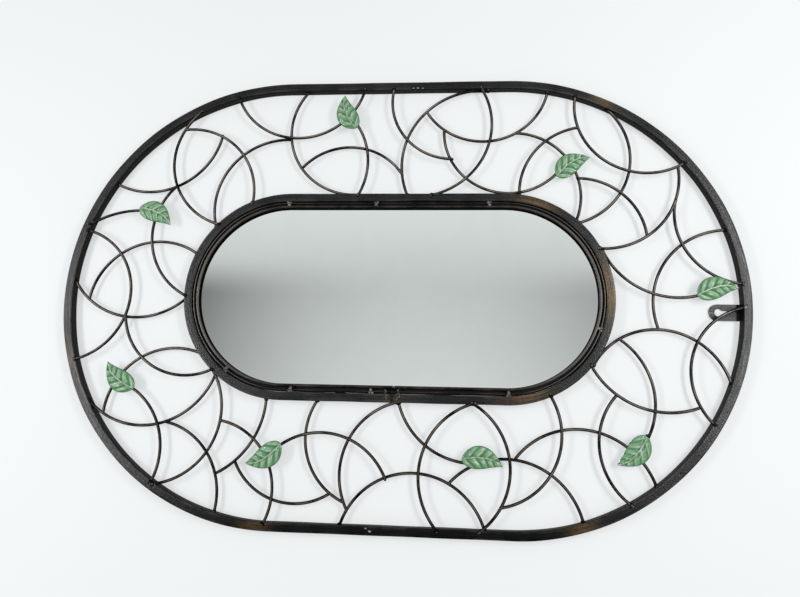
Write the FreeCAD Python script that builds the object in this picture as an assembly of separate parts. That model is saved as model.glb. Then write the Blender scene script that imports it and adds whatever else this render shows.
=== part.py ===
# Oval wall mirror: two rings of steel bar, a lattice of bowed wires with leaves between them,
# and a mirror glass clamped in the inner ring. Sizes are in millimetres.
# The front faces -Y, the back lies in the plane y = 0, and +Z is up as it hangs.
# The origin is the centre of the hanger's keyhole on the back plane.
import FreeCAD
import Part

import math
import os

# Rings of solid steel bar, with the span between them at the ends and at the sides
frame_height = 914.4
frame_width = 609.6
end_span = 169.7
side_span = 163.8
bar_width = 11.3
bar_depth = 12.7
bar_edge = 1.0

# Lattice wires, in two layers that touch where they cross
wire_diameter = 3.5
wire_setback = 0.6
weld_gap = 0.1

# Glass, the oval rod that holds its edge in front and the board behind it
rod_width = 4.0
rod_depth = 6.0
rod_gap = 4.2
glass_thickness = 3.0
glass_clearance = 5.8
board_thickness = 2.0
board_clearance = 1.0

# Welds between rod and inner ring, at degrees clockwise from the top
tack_size = 3.0
tack_angles = [9, 41, 102, 136, 155, 221, 258, 314]

# Sheet tabs that hold the board from behind
clip_thickness = 0.7
clip_width = 14.0
clip_reach = 12.0
clip_angles = [0, 62, 118, 180, 242, 298]

# Pressed leaves
leaf_length = 53.0
leaf_width = 29.0
leaf_crown = 4.6
leaf_edge = 0.8
leaf_sheet = 1.2

# Hanger plate with its keyhole
tab_width = 21.5
tab_length = 39.2
tab_thickness = 2.0
tab_offset = 17.0
keyhole_diameter = 10.0
keyhole_inset = 12.3
slot_width = 4.2
slot_mouth = 6.2
slot_rise = 10.5

# Layers of the lattice
FRONT = "front"
BACK = "back"

# A wire that is bowed until it touches the inner ring
TOUCH = "touch"
bow_precision = 0.0001

# Corners of the flat-sided sections that stand for round ones, few because there are many wires
wire_corner_angles = [45, 135, 225, 315]
rod_corner_angles = [22.5, 67.5, 112.5, 157.5, 202.5, 247.5, 292.5, 337.5]


def outer(angle):
    """Anchor on the outer ring's inner wall, in degrees clockwise from the top."""
    return ("outer", angle)


def inner(angle):
    """Anchor on the inner ring's outer wall, in degrees clockwise from the top."""
    return ("inner", angle)


def on(number, share):
    """Anchor on an earlier wire, at a share of its length from its start."""
    return ("wire", number, share)


# Each wire: start, end, bow to its left as a share of its chord, or TOUCH, layer
wire_rows = [
    (outer(231), outer(260.5), -0.36, FRONT),
    (outer(246), inner(247.5), -0.32, BACK),
    (inner(200.5), on(2, 0.36), 0.26, BACK),
    (outer(222), inner(201.5), -0.29, FRONT),
    (on(4, 0.14), inner(213), 0.24, FRONT),
    (outer(201.5), on(5, 0.32), -0.25, BACK),
    (on(4, 0.57), inner(179.5), -0.26, FRONT),
    (outer(193), on(7, 0.25), 0.09, FRONT),
    (outer(191.5), outer(168), 0.38, FRONT),
    (outer(182), inner(178.5), -0.23, BACK),
    (on(10, 0.18), inner(191.5), 0.28, BACK),
    (on(9, 0.62), inner(157), -0.26, FRONT),
    (outer(159.5), inner(155.5), -0.27, BACK),
    (on(13, 0.10), inner(163), 0.25, BACK),
    (on(14, 0.27), outer(141.5), 0.23, FRONT),
    (inner(155.5), outer(140.5), 0.26, FRONT),
    (on(13, 0.54), outer(128.5), 0.21, BACK),
    (on(16, 0.34), outer(118.5), 0.25, FRONT),
    (inner(140), on(17, 0.68), 0.14, BACK),
    (outer(102), outer(68), 0.36, BACK),
    (on(18, 0.50), on(20, 0.35), 0.28, FRONT),
    (inner(88.5), on(20, 0.08), -0.24, BACK),
    (inner(125), on(22, 0.94), -0.23, BACK),
    (on(19, 0.75), on(23, 0.86), -0.23, BACK),
    (inner(54.5), outer(79), -0.26, FRONT),
    (inner(53), outer(68.5), 0.26, FRONT),
    (on(20, 0.70), outer(49.5), 0.30, BACK),
    (inner(86.5), on(27, 0.22), -0.18, BACK),
    (inner(32.5), on(26, 0.80), 0.26, FRONT),
    (on(27, 0.44), outer(35.5), 0.30, BACK),
    (inner(17.5), outer(14), 0.32, BACK),
    (on(31, 0.20), on(30, 0.80), 0.23, BACK),
    (outer(1.5), outer(21.5), -0.29, FRONT),
    (inner(19.5), on(33, 0.87), -0.19, FRONT),
    (on(34, 0.30), outer(41), -0.22, FRONT),
    (outer(348), on(31, 0.45), -0.25, BACK),
    (outer(311), outer(334.5), -0.32, FRONT),
    (on(37, 0.96), inner(346.5), 0.23, FRONT),
    (on(38, 0.26), outer(357.5), -0.23, FRONT),
    (inner(348), on(39, 0.90), -0.24, FRONT),
    (outer(318), inner(337.5), 0.28, BACK),
    (outer(292), inner(275.5), -0.27, BACK),
    (on(42, 0.40), outer(305.5), -0.34, BACK),
    (on(43, 0.65), inner(336.5), 0.26, BACK),
    (on(44, 0.66), on(38, 0.64), 0.19, FRONT),
    (on(43, 0.17), on(44, 0.47), TOUCH, BACK),
    (on(37, 0.21), on(46, 0.65), -0.18, FRONT),
    (outer(291.5), inner(291), 0.24, FRONT),
    (outer(268.5), on(46, 0.19), -0.23, FRONT),
    (on(1, 0.82), inner(249.5), 0.16, FRONT),
    (on(2, 0.58), on(42, 0.86), 0.25, BACK),
]

# Each leaf: the place on a wire that it sits at, the way its tip points, and how far its middle
# lies ahead of that place and to the right of it
leaf_rows = [
    (on(1, 0.83), 246, 3.1, -3.3),
    (on(44, 0.56), 324, 0.1, -4.6),
    (on(40, 0.90), 344, -0.9, 0.4),
    (on(30, 0.77), 132, -0.5, -2.2),
    (on(27, 0.23), 4, 2.9, -4.5),
    (on(18, 0.45), 145, 0.7, -4.8),
    (on(14, 0.32), 216, -3.0, -2.4),
    (on(7, 0.29), 23, -0.4, -3.7),
]

ACROSS = FreeCAD.Vector(1, 0, 0)
BACKWARD = FreeCAD.Vector(0, 1, 0)
UP = FreeCAD.Vector(0, 0, 1)


def turned(vector, angle):
    """Vector turned clockwise by an angle in degrees, seen from the front."""
    return FreeCAD.Rotation(BACKWARD, angle).multVec(vector)


def rod_section(middle, radial, width, depth, corner_angles):
    """Flat-sided section of a round or oval rod, measured across its flats, with a flat to the front."""
    spread = 1 / math.cos(math.pi / len(corner_angles))
    half_width = radial * (width / 2 * spread)
    half_depth = BACKWARD * (depth / 2 * spread)
    corners = []
    for angle in corner_angles + corner_angles[:1]:
        turn = math.radians(angle)
        corners.append(middle + half_width * math.cos(turn) + half_depth * math.sin(turn))
    return Part.Face(Part.makePolygon(corners))


class Stadium:
    """Upright outline of two half circles joined by straight sides."""

    def __init__(self, height, width):
        self.radius = width / 2
        self.half_straight = (height - width) / 2

    def inset(self, distance):
        """The same outline moved in by a distance."""
        radius = self.radius - distance
        return Stadium(2 * (self.half_straight + radius), 2 * radius)

    def at(self, angle):
        """Where a ray from the centre meets the outline."""
        ray = turned(UP, angle)
        if abs(ray.z) * self.radius <= self.half_straight * abs(ray.x):
            return ray * (self.radius / abs(ray.x))
        reach = math.sqrt(self.radius**2 - (self.half_straight * ray.x) ** 2)
        return ray * (self.half_straight * abs(ray.z) + reach)

    def outward(self, angle):
        """Unit normal of the outline where the ray meets it."""
        point = self.at(angle)
        height = max(-self.half_straight, min(self.half_straight, point.z))
        return (point - UP * height).normalize()

    def clearance(self, point):
        """How far outside the outline a point lies."""
        height = max(-self.half_straight, min(self.half_straight, point.z))
        return math.hypot(point.x, point.z - height) - self.radius

    def wire(self, y):
        """Closed outline in the plane at depth y."""
        side = ACROSS * self.radius
        top = FreeCAD.Vector(0, y, self.half_straight)
        bottom = FreeCAD.Vector(0, y, -self.half_straight)
        crown = UP * self.radius
        edges = [
            Part.Arc(top - side, top + crown, top + side).toShape(),
            Part.LineSegment(top + side, bottom + side).toShape(),
            Part.Arc(bottom + side, bottom - crown, bottom - side).toShape(),
            Part.LineSegment(bottom - side, top - side).toShape(),
        ]
        return Part.Wire(edges)

    def slab(self, y_front, y_back):
        """Solid plate of this outline between two depths."""
        return Part.Face(self.wire(y_front)).extrude(BACKWARD * (y_back - y_front))


class Bend:
    """Circular arc between two points of the lattice plane, bowed by a share of its chord."""

    def __init__(self, start, end, bow):
        chord = end - start
        left = FreeCAD.Vector(-chord.z, 0, chord.x)
        rise = bow * chord.Length
        self.start = start
        self.radius = (chord.Length**2 / 4 + rise**2) / (2 * abs(rise))
        self.sweep = math.degrees(4 * math.atan(2 * bow))
        to_centre = rise - math.copysign(self.radius, rise)
        self.centre = (start + end) * 0.5 + left.normalize() * to_centre

    def at(self, share):
        """Point at a share of the arc's length."""
        return self.centre + turned(self.start - self.centre, self.sweep * share)

    def rod(self, y, size, before, after):
        """Solid rod along the arc at depth y, lengthened at either end."""
        direction = math.copysign(1, self.sweep)
        lead = math.degrees(before / self.radius) * direction
        tail = math.degrees(after / self.radius) * direction
        radial = turned(self.start - self.centre, -lead).normalize()
        middle = self.centre + radial * self.radius + BACKWARD * y
        section = rod_section(middle, radial, size, size, wire_corner_angles)
        return section.revolve(self.centre, BACKWARD, lead + self.sweep + tail)


# Outlines and depths that the pieces share
outer_outline = Stadium(frame_height, frame_width)
outer_wall = outer_outline.inset(bar_width)
inner_outline = Stadium(frame_height - 2 * end_span, frame_width - 2 * side_span)
inner_wall = inner_outline.inset(bar_width)
front_y = -bar_depth
front_layer_y = front_y + wire_setback + wire_diameter / 2
layer_y = {FRONT: front_layer_y, BACK: front_layer_y + wire_diameter + weld_gap}
clip_y = -clip_thickness
board_y = clip_y - board_thickness
glass_y = board_y - glass_thickness
rod_y = glass_y - rod_depth / 2


def bar_ring(outline):
    """Ring of solid bar with eased long edges."""
    ring = outline.slab(front_y, 0).cut(outline.inset(bar_width).slab(front_y, 0))
    long_edges = [edge for edge in ring.Edges if edge.BoundBox.YLength < bar_edge]
    return ring.makeChamfer(bar_edge, long_edges)


def retaining_rod():
    """Straight and bent lengths of rod that follow the inner ring and hold the front of the glass."""
    path = inner_wall.inset(rod_gap + rod_width / 2)
    lengths = []
    for side in (1, -1):
        corner = FreeCAD.Vector(side * path.radius, rod_y, -side * path.half_straight)
        section = rod_section(corner, ACROSS * side, rod_width, rod_depth, rod_corner_angles)
        run = UP * (2 * side * path.half_straight)
        middle = UP * (side * path.half_straight)
        lengths.append(section.extrude(run))
        section.translate(run)
        lengths.append(section.revolve(middle, BACKWARD, -90))
        section.rotate(middle, BACKWARD, -90)
        lengths.append(section.revolve(middle, BACKWARD, -90))
    return Part.makeCompound(lengths)


def wall_block(angle, width, reach, y, thickness):
    """Block that stands on the inner ring's wall and reaches inwards."""
    outward = inner_wall.outward(angle)
    along = turned(outward, 90) * width
    depth = outward * (reach + bar_width / 2)
    corner = inner_wall.at(angle) - outward * reach - along * 0.5 + BACKWARD * y
    outline = [corner, corner + along, corner + along + depth, corner + depth, corner]
    return Part.Face(Part.makePolygon(outline)).extrude(BACKWARD * thickness)


def rod_tacks():
    """Short welds from the inner ring's wall to the rod."""
    y = rod_y - tack_size / 2
    return [wall_block(angle, tack_size, rod_gap, y, tack_size) for angle in tack_angles]


def backing_clips():
    """Flat tabs from the inner ring's wall onto the back of the board."""
    return [wall_block(angle, clip_width, clip_reach, clip_y, clip_thickness) for angle in clip_angles]


def leaf_blank():
    """Pressed leaf about the origin: tip along +Z, hollow back on the plane y = 0."""
    tip = UP * (leaf_length / 2)
    side = ACROSS * (leaf_width / 2)
    outline = Part.Wire([
        Part.Arc(tip * -1, side, tip).toShape(),
        Part.Arc(tip, side * -1, tip * -1).toShape(),
    ])
    block = Part.Face(outline).extrude(BACKWARD * -leaf_crown)
    crown = dome(leaf_crown)
    return block.common(crown).cut(dome(leaf_crown - leaf_sheet))


def dome(crown):
    """Double-curved solid whose crest stands a crown's height in front of y = 0."""
    drop = leaf_crown - leaf_edge
    long_radius = (leaf_length**2 / 4 + drop**2) / (2 * drop)
    cross_radius = (leaf_width**2 / 4 + drop**2) / (2 * drop)
    crest = BACKWARD * -crown
    axis_y = BACKWARD * (cross_radius - crown)
    end_z = UP * (leaf_length / 2)
    end_y = BACKWARD * (drop - crown)
    arc = Part.Arc(end_y - end_z, crest, end_y + end_z).toShape()
    sides = Part.makePolygon([end_y + end_z, axis_y + end_z, axis_y - end_z, end_y - end_z])
    profile = Part.Face(Part.Wire([arc] + sides.Edges))
    return profile.revolve(axis_y, UP, 360)


def hanger_hole():
    """Centre of the keyhole's round entry, seen from the ring's own centre."""
    wall_height = outer_wall.half_straight + math.sqrt(outer_wall.radius**2 - tab_offset**2)
    return FreeCAD.Vector(tab_offset, 0, wall_height - tab_length + keyhole_inset)


def hanger_tab():
    """Round-ended plate with a keyhole, flush with the back and butted to the outer ring."""
    hole = hanger_hole()
    side = ACROSS * (tab_width / 2)
    foot = hole + UP * (tab_width / 2 - keyhole_inset)
    head = FreeCAD.Vector(tab_offset, 0, outer_outline.half_straight + outer_wall.radius)
    outline = Part.Wire([
        Part.LineSegment(head + side, foot + side).toShape(),
        Part.Arc(foot + side, foot - UP * (tab_width / 2), foot - side).toShape(),
        Part.LineSegment(foot - side, head - side).toShape(),
        Part.LineSegment(head - side, head + side).toShape(),
    ])
    thick = BACKWARD * -tab_thickness
    plate = Part.Face(outline).extrude(thick)
    entry = Part.makeCylinder(keyhole_diameter / 2, tab_thickness, hole, BACKWARD * -1)
    end = hole + UP * slot_rise
    half_mouth = ACROSS * (slot_mouth / 2)
    half_slot = ACROSS * (slot_width / 2)
    throat = Part.makePolygon(
        [hole - half_mouth, hole + half_mouth, end + half_slot, end - half_slot, hole - half_mouth]
    )
    slot = Part.Face(throat).extrude(thick)
    slot_end = Part.makeCylinder(slot_width / 2, tab_thickness, end, BACKWARD * -1)
    return plate.cut([entry, slot, slot_end])


def anchor_point(anchor, bends):
    """Where an anchor lies in the lattice plane."""
    if anchor[0] == "outer":
        return outer_wall.at(anchor[1])
    if anchor[0] == "inner":
        return inner_outline.at(anchor[1])
    return bends[anchor[1] - 1].at(anchor[2])


def anchor_layer(anchor):
    """Layer of the wire that an anchor lies on."""
    return wire_rows[anchor[1] - 1][3]


def overlap(anchor, layer):
    """How far a wire runs past its anchor before it is trimmed."""
    if anchor[0] != "wire":
        return bar_width / 2
    if anchor_layer(anchor) == layer:
        return 0
    return wire_diameter / 2


def touching_bow(start, end):
    """Bow that brings a wire up to the inner ring without crossing it."""
    chord = end - start
    left = FreeCAD.Vector(-chord.z, 0, chord.x)
    side = math.copysign(1, -left.dot(start + end))
    least = wire_diameter / 2 + weld_gap
    samples = 60
    shares = [place / samples for place in range(samples)]
    straight = 0.0
    half_circle = 0.5
    clear, crossing = straight, half_circle
    while crossing - clear > bow_precision:
        bow = (clear + crossing) / 2
        bend = Bend(start, end, side * bow)
        if min(inner_outline.clearance(bend.at(share)) for share in shares) > least:
            clear = bow
        else:
            crossing = bow
    return side * clear


def lattice(rings):
    """Every wire, trimmed where it meets a ring or an earlier wire of its own layer."""
    bends = []
    rods = []
    cutters = []
    for start_anchor, end_anchor, bow, layer in wire_rows:
        start = anchor_point(start_anchor, bends)
        end = anchor_point(end_anchor, bends)
        if bow == TOUCH:
            bow = touching_bow(start, end)
        bend = Bend(start, end, bow)
        before = overlap(start_anchor, layer)
        after = overlap(end_anchor, layer)
        rod = bend.rod(layer_y[layer], wire_diameter, before, after)
        tools = list(rings)
        for cutter, cutter_layer in cutters:
            if cutter_layer == layer and cutter.BoundBox.intersect(rod.BoundBox):
                tools.append(cutter)
        trimmed = rod.cut(tools)
        rods.append(max(trimmed.Solids, key=lambda solid: solid.Volume))
        cutters.append((bend.rod(layer_y[layer], wire_diameter + 2 * weld_gap, before, after), layer))
        bends.append(bend)
    return bends, rods


def leaves(bends, rods):
    """Leaves laid on their wires, or on a front wire that passes under them."""
    blank = leaf_blank()
    placed = []
    for anchor, heading, ahead, aside in leaf_rows:
        seat = anchor_point(anchor, bends) + turned(UP * ahead + ACROSS * aside, heading)
        for layer in (anchor_layer(anchor), FRONT):
            seat.y = layer_y[layer] - wire_diameter / 2 - weld_gap
            leaf = blank.copy()
            leaf.Placement = FreeCAD.Placement(seat, FreeCAD.Rotation(BACKWARD, heading))
            near = [rod for rod in rods if rod.BoundBox.intersect(leaf.BoundBox)]
            if leaf.common(near).Volume == 0:
                break
        placed.append(leaf)
    return placed


def build():
    """All pieces by node name, with the ring's centre as origin."""
    outer_ring = bar_ring(outer_outline)
    inner_ring = bar_ring(inner_outline)
    glass_outline = inner_wall.inset(glass_clearance)
    board_outline = inner_wall.inset(board_clearance)
    bends, rods = lattice([outer_ring, inner_ring])
    pieces = {
        "outer_ring": outer_ring,
        "inner_ring": inner_ring,
        "retaining_rod": retaining_rod(),
        "rod_tacks": Part.makeCompound(rod_tacks()).cut(inner_ring),
        "mirror_glass": glass_outline.slab(glass_y, board_y),
        "backing_board": board_outline.slab(board_y, clip_y),
        "backing_clips": Part.makeCompound(backing_clips()).cut(inner_ring),
        "hanger_tab": hanger_tab().cut(outer_ring),
        "leaves": Part.makeCompound(leaves(bends, rods)),
    }
    for number, wire in enumerate(rods, 1):
        pieces[f"wire_{number:02d}"] = wire
    return pieces


os.makedirs("parts", exist_ok=True)
to_keyhole = hanger_hole() * -1
for name, shape in build().items():
    shape.translate(to_keyhole)
    shape.exportStep(os.path.join("parts", name + ".step"))
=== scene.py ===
"""Oval wall mirror in a lattice of bowed wires: the looks of every piece, built round its solids.

Lengths are in millimetres until a mesh is written, in the frame of the solids: +Z runs up the wall,
-Y towards the viewer and the origin is the keyhole that the mirror hangs from.
"""
import logging
import math
from collections.abc import Callable
from dataclasses import dataclass, replace
from enum import Enum
from functools import partial

import bpy
import numpy as np
from mathutils import Matrix


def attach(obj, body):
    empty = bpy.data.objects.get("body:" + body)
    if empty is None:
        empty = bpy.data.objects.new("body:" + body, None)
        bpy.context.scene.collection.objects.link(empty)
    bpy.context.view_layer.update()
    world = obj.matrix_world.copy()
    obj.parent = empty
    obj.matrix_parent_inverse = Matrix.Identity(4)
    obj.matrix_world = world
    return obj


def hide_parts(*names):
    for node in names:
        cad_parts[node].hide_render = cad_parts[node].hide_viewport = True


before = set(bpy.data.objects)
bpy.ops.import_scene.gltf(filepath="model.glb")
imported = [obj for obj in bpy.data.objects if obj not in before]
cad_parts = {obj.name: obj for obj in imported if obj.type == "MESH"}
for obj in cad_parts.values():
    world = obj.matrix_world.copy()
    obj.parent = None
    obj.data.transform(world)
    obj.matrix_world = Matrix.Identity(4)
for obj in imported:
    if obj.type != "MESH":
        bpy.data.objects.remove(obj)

log = logging.getLogger("oval_mirror")

MM = 0.001
TURN = 2 * math.pi
GOLDEN_ANGLE = 2.39996
BODY = "root"
BAR_MAP = "along_bar"

# node types that many finishes use, and the sockets of a colour mix
MATH, RANGE, NOISE = "ShaderNodeMath", "ShaderNodeMapRange", "ShaderNodeTexNoise"
MIX, MARK = "ShaderNodeMix", "ShaderNodeAttribute"
MIX_FACTOR, MIX_A, MIX_B = 0, 6, 7
BLEND = {"out": 2, "data_type": "RGBA"}
# the shader's own specular level, and the way between a wave texture's bands at scale 1
FULL_SHEEN = 0.5
WAVE_PERIOD = TURN / 20

Adder = Callable[..., bpy.types.NodeSocket]
Pair = tuple[float, float]
Triple = tuple[float, float, float]
Four = tuple[float, float, float, float]


class Slot(Enum):
    """Finishes of the record that the new pieces stand for."""

    BLACK_STEEL = "blackened_steel"
    WIRE_STEEL = "wire_steel"
    ENAMEL = "green_enamel"


class Grain(Enum):
    """How the brush marks of a black paint lie."""

    ALONG_BAR = "follow the bar"
    PLATE = "run up a flat plate"


class WireEnd(Enum):
    """How a lattice wire stops."""

    LAPPED = "bent up over the front edge of a ring"
    BUTTED = "against the wall of a ring"
    TEED = "against another wire"


# half sizes of the weld at each kind of end
WELD_RADII = {
    WireEnd.LAPPED: (3.1, 2.0, 3.1),
    WireEnd.BUTTED: (3.3, 4.0, 3.3),
    WireEnd.TEED: (2.1, 1.9, 2.1),
}


# Small tools for meshes


@dataclass
class Surface:
    """Points and faces of one closed skin.

    Attributes:
        points: Places in mm, shape (n, 3).
        quads: Four point numbers a face.
        triangles: Three point numbers a face.
        marks: Values per point, by name, that a finish reads.
        quad_map: Map coordinates of the quads' corners in mm, or None.
    """

    points: np.ndarray
    quads: np.ndarray
    triangles: np.ndarray
    marks: dict[str, np.ndarray]
    quad_map: np.ndarray | None = None


def skin(rows: np.ndarray, loop: bool, marks: dict[str, np.ndarray] | None = None) -> Surface:
    """Closes a row of sections into a skin that faces outwards.

    Each section is a closed ring, and neighbouring rings are joined by quads. The last ring joins the
    first, or both end rings close on a fan to their own middle. A negative volume turns all faces round.

    Args:
        rows: Section points in mm, shape (sections, points round, 3).
        loop: True if the sections close into a ring.
        marks: Values per section point, shape (sections, points round), by name.

    Returns:
        The closed skin.
    """
    count, around, _ = rows.shape
    along = np.arange(count if loop else count - 1)[:, None]
    across = np.arange(around)[None, :]
    following = (along + 1) % count * around
    beside = (across + 1) % around
    corners = [along * around + across, along * around + beside, following + beside, following + across]
    quads = np.stack(corners, -1).reshape(-1, 4)
    points = rows.reshape(-1, 3)
    values = {name: value.reshape(-1) for name, value in (marks or {}).items()}
    triangles = np.empty((0, 3), int)
    if not loop:
        ends = rows[[0, -1]].mean(axis=1)
        first = np.stack([np.full(around, len(points)), beside[0], across[0]], -1)
        rim = (count - 1) * around
        last = np.stack([np.full(around, len(points) + 1), rim + across[0], rim + beside[0]], -1)
        triangles = np.concatenate([first, last])
        points = np.concatenate([points, ends])
        values = {
            name: np.append(value, [value[:around].mean(), value[-around:].mean()])
            for name, value in values.items()
        }
    fans = np.concatenate([quads[:, [0, 1, 2]], quads[:, [0, 2, 3]], triangles])
    a, b, c = (points[fans[:, k]] - points.mean(axis=0) for k in range(3))
    if np.einsum("ij,ij->", a, np.cross(b, c)) < 0:
        quads = quads[:, ::-1]
        triangles = triangles[:, ::-1]
    return Surface(points, quads, triangles, values)


def joined(surfaces: list[Surface]) -> Surface:
    """Puts several skins into one, with their point numbers moved on.

    Args:
        surfaces: Skins that carry the same marks.

    Returns:
        One surface of separate skins.
    """
    starts = np.cumsum([0] + [len(surface.points) for surface in surfaces])
    return Surface(
        np.concatenate([surface.points for surface in surfaces]),
        np.concatenate([surface.quads + start for surface, start in zip(surfaces, starts)]),
        np.concatenate([surface.triangles + start for surface, start in zip(surfaces, starts)]),
        {name: np.concatenate([s.marks[name] for s in surfaces]) for name in surfaces[0].marks},
    )


def new_piece(name: str, surface: Surface, finish: bpy.types.Material, slot: Slot, *nodes: str) -> None:
    """Writes a skin into a smooth mesh, dresses it and lets it ride on the body.

    Args:
        name: Name of the piece.
        surface: Its skin.
        finish: Its material.
        slot: The record's finish that it stands for; not used.
        nodes: Solids that it replaces.
    """
    mesh = bpy.data.meshes.new(name)
    faces = surface.quads.tolist() + surface.triangles.tolist()
    mesh.from_pydata((surface.points * MM).tolist(), [], faces)
    for mark, values in surface.marks.items():
        mesh.attributes.new(mark, "FLOAT", "POINT").data.foreach_set("value", values.astype(np.float32))
    if surface.quad_map is not None:
        layer = mesh.uv_layers.new(name=BAR_MAP)
        layer.data.foreach_set("uv", (surface.quad_map * MM).astype(np.float32).reshape(-1))
    mesh.shade_smooth()
    mesh.materials.append(finish)
    mesh.update()
    piece = bpy.data.objects.new(name, mesh)
    bpy.context.scene.collection.objects.link(piece)
    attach(piece, BODY)
    if nodes:
        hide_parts(*nodes)
    log.info("%s: %d faces", name, len(faces))


def node_points(node: str) -> np.ndarray:
    """Points of a solid's mesh in mm, shape (n, 3).

    Args:
        node: Name of the solid's node.

    Returns:
        The points in the mesh's own order.
    """
    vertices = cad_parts[node].data.vertices
    places = np.empty(len(vertices) * 3, np.float32)
    vertices.foreach_get("co", places)
    return places.reshape(-1, 3).astype(float) / MM


def middle_of(points: np.ndarray) -> np.ndarray:
    """Middle of the box that holds all points."""
    return (points.min(axis=0) + points.max(axis=0)) / 2


def clusters(points: np.ndarray, reach: float) -> list[np.ndarray]:
    """Parts the points of small solids that lie well apart.

    Args:
        points: Points of all the solids.
        reach: More than one solid's length, and less than the way to the next.

    Returns:
        The points of each solid.
    """
    groups = []
    while len(points):
        near = np.hypot(points[:, 0] - points[0, 0], points[:, 2] - points[0, 2]) < reach
        groups.append(points[near])
        points = points[~near]
    return groups


def eased(share: np.ndarray) -> np.ndarray:
    """Smooth step from 0 to 1: 3 t^2 - 2 t^3 of the share held between 0 and 1."""
    held = np.clip(share, 0, 1)
    return held * held * (3 - 2 * held)


def rounded(from_end: np.ndarray, radius: float) -> np.ndarray:
    """Share of a rod's full thickness near its end: a quarter circle over the last radius.

    Args:
        from_end: Way from the end.
        radius: The rod's radius.

    Returns:
        A share that grows to 1.
    """
    return np.sqrt(1 - np.clip(1 - from_end / radius, 0, 1) ** 2)


@dataclass(frozen=True)
class Stadium:
    """Outline of two half circles and two straight sides: a radius carried round an upright spine.

    Attributes:
        centre_x: Place of the spine.
        centre_z: Middle of the spine's height.
        radius: Reach of the outline from the spine.
        half_straight: Half the spine's length.
    """

    centre_x: float
    centre_z: float
    radius: float
    half_straight: float

    def at(self, radius: float) -> "Stadium":
        """The outline with the same spine and another radius."""
        return replace(self, radius=radius)

    @classmethod
    def around(cls, points: np.ndarray) -> "Stadium":
        """The outline that just holds all points.

        Args:
            points: Points of an upright stadium-shaped solid.

        Returns:
            Its outer outline.
        """
        width, _, height = np.ptp(points, axis=0)
        x, _, z = middle_of(points)
        return cls(x, z, width / 2, (height - width) / 2)

    @property
    def length(self) -> float:
        """Way round the outline."""
        return TURN * self.radius + 4 * self.half_straight

    def reach(self, points: np.ndarray) -> np.ndarray:
        """Distance of each point from the spine, seen from the front.

        Args:
            points: Points, shape (n, 3).

        Returns:
            A distance for each point.
        """
        up = points[:, 2] - self.centre_z
        beyond = up - np.clip(up, -self.half_straight, self.half_straight)
        return np.hypot(points[:, 0] - self.centre_x, beyond)

    def carried(self, station: np.ndarray, outward: np.ndarray, depth: np.ndarray) -> np.ndarray:
        """Places at stations along the outline, moved outwards and set to a depth.

        The way round starts half up the right side and runs over the top. With a station's turn and its
        place on the spine both straight-line functions of the way, the point is the spine's place plus
        radius and outward offset along the turn.

        Args:
            station: Way along the outline.
            outward: Offset from the outline, away from the spine.
            depth: Y of the points.

        Returns:
            The points, with a last axis of x, y and z.
        """
        half = self.half_straight
        cap = math.pi * self.radius
        knots = np.cumsum([0, half, cap, 2 * half, cap, half])
        turn = np.interp(station, knots, [0, 0, math.pi, math.pi, TURN, TURN])
        spine = np.interp(station, knots, [0, half, half, -half, -half, 0])
        reach = self.radius + outward
        x = self.centre_x + reach * np.cos(turn)
        z = self.centre_z + spine + reach * np.sin(turn)
        return np.stack(np.broadcast_arrays(x, depth, z), -1)


def ring_walls(node: str) -> tuple[Stadium, float]:
    """Measures a solid ring.

    Args:
        node: Name of the ring's node.

    Returns:
        Its outer outline, and the reach of its inner wall from the spine.
    """
    points = node_points(node)
    outline = Stadium.around(points)
    return outline, outline.reach(points).min()


@dataclass(frozen=True)
class Arc:
    """Middle line of a bowed wire.

    Attributes:
        x: Centre of the bow.
        z: Centre of the bow.
        radius: Radius of the bow.
        start: Angle of its first end from +X.
        sweep: Angle that it covers.
        depth: Y of the middle line.
        half: Half the wire's thickness.
    """

    x: float
    z: float
    radius: float
    start: float
    sweep: float
    depth: float
    half: float

    @classmethod
    def through(cls, points: np.ndarray) -> "Arc":
        """Fits the bow to a solid wire's points.

        Seen from the front, a wire's edges lie on two circles, half a wire inside and outside its middle
        line. A first circle comes from linear least squares, and each Newton step then keeps only the
        points whose miss is under a tolerance that shrinks, so the points of the cut ends drop out.

        Args:
            points: Points of the solid wire.

        Returns:
            The wire's middle line.
        """
        first_tolerance, last_tolerance, steps = 1.6, 0.02, 12
        half = np.ptp(points[:, 1]) / 2
        flat = points[:, [0, 2]]
        table = np.c_[2 * flat, np.ones(len(flat))]
        x, z, rest = np.linalg.lstsq(table, (flat**2).sum(axis=1), rcond=None)[0]
        radius = math.sqrt(rest + x * x + z * z)
        for tolerance in np.geomspace(first_tolerance, last_tolerance, steps):
            away = flat - (x, z)
            reach = np.hypot(away[:, 0], away[:, 1])
            miss = reach - radius - np.copysign(half, reach - radius)
            kept = np.abs(miss) < tolerance
            slopes = np.c_[-away / reach[:, None], -np.ones(len(flat))]
            step = np.linalg.lstsq(slopes[kept], -miss[kept], rcond=None)[0]
            x, z, radius = x + step[0], z + step[1], radius + step[2]
        angle = np.arctan2(flat[:, 1] - z, flat[:, 0] - x)
        middle = math.atan2(np.sin(angle).mean(), np.cos(angle).mean())
        swing = (angle - middle + math.pi) % TURN - math.pi
        depth = middle_of(points)[1]
        return cls(x, z, radius, middle + swing.min(), np.ptp(swing), depth, half)

    @property
    def length(self) -> float:
        """Way along the bow."""
        return self.radius * self.sweep

    def carried(self, way: np.ndarray, outward: np.ndarray, depth: np.ndarray) -> np.ndarray:
        """Places along the bow: the centre plus radius and offset along the angle of the way.

        Args:
            way: Way along the bow from its first end.
            outward: Offset from the middle line, away from the centre.
            depth: Y of the points.

        Returns:
            The points, with a last axis of x, y and z.
        """
        angle = self.start + way / self.radius
        reach = self.radius + outward
        x, z = self.x + reach * np.cos(angle), self.z + reach * np.sin(angle)
        return np.stack(np.broadcast_arrays(x, depth, z), -1)


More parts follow.
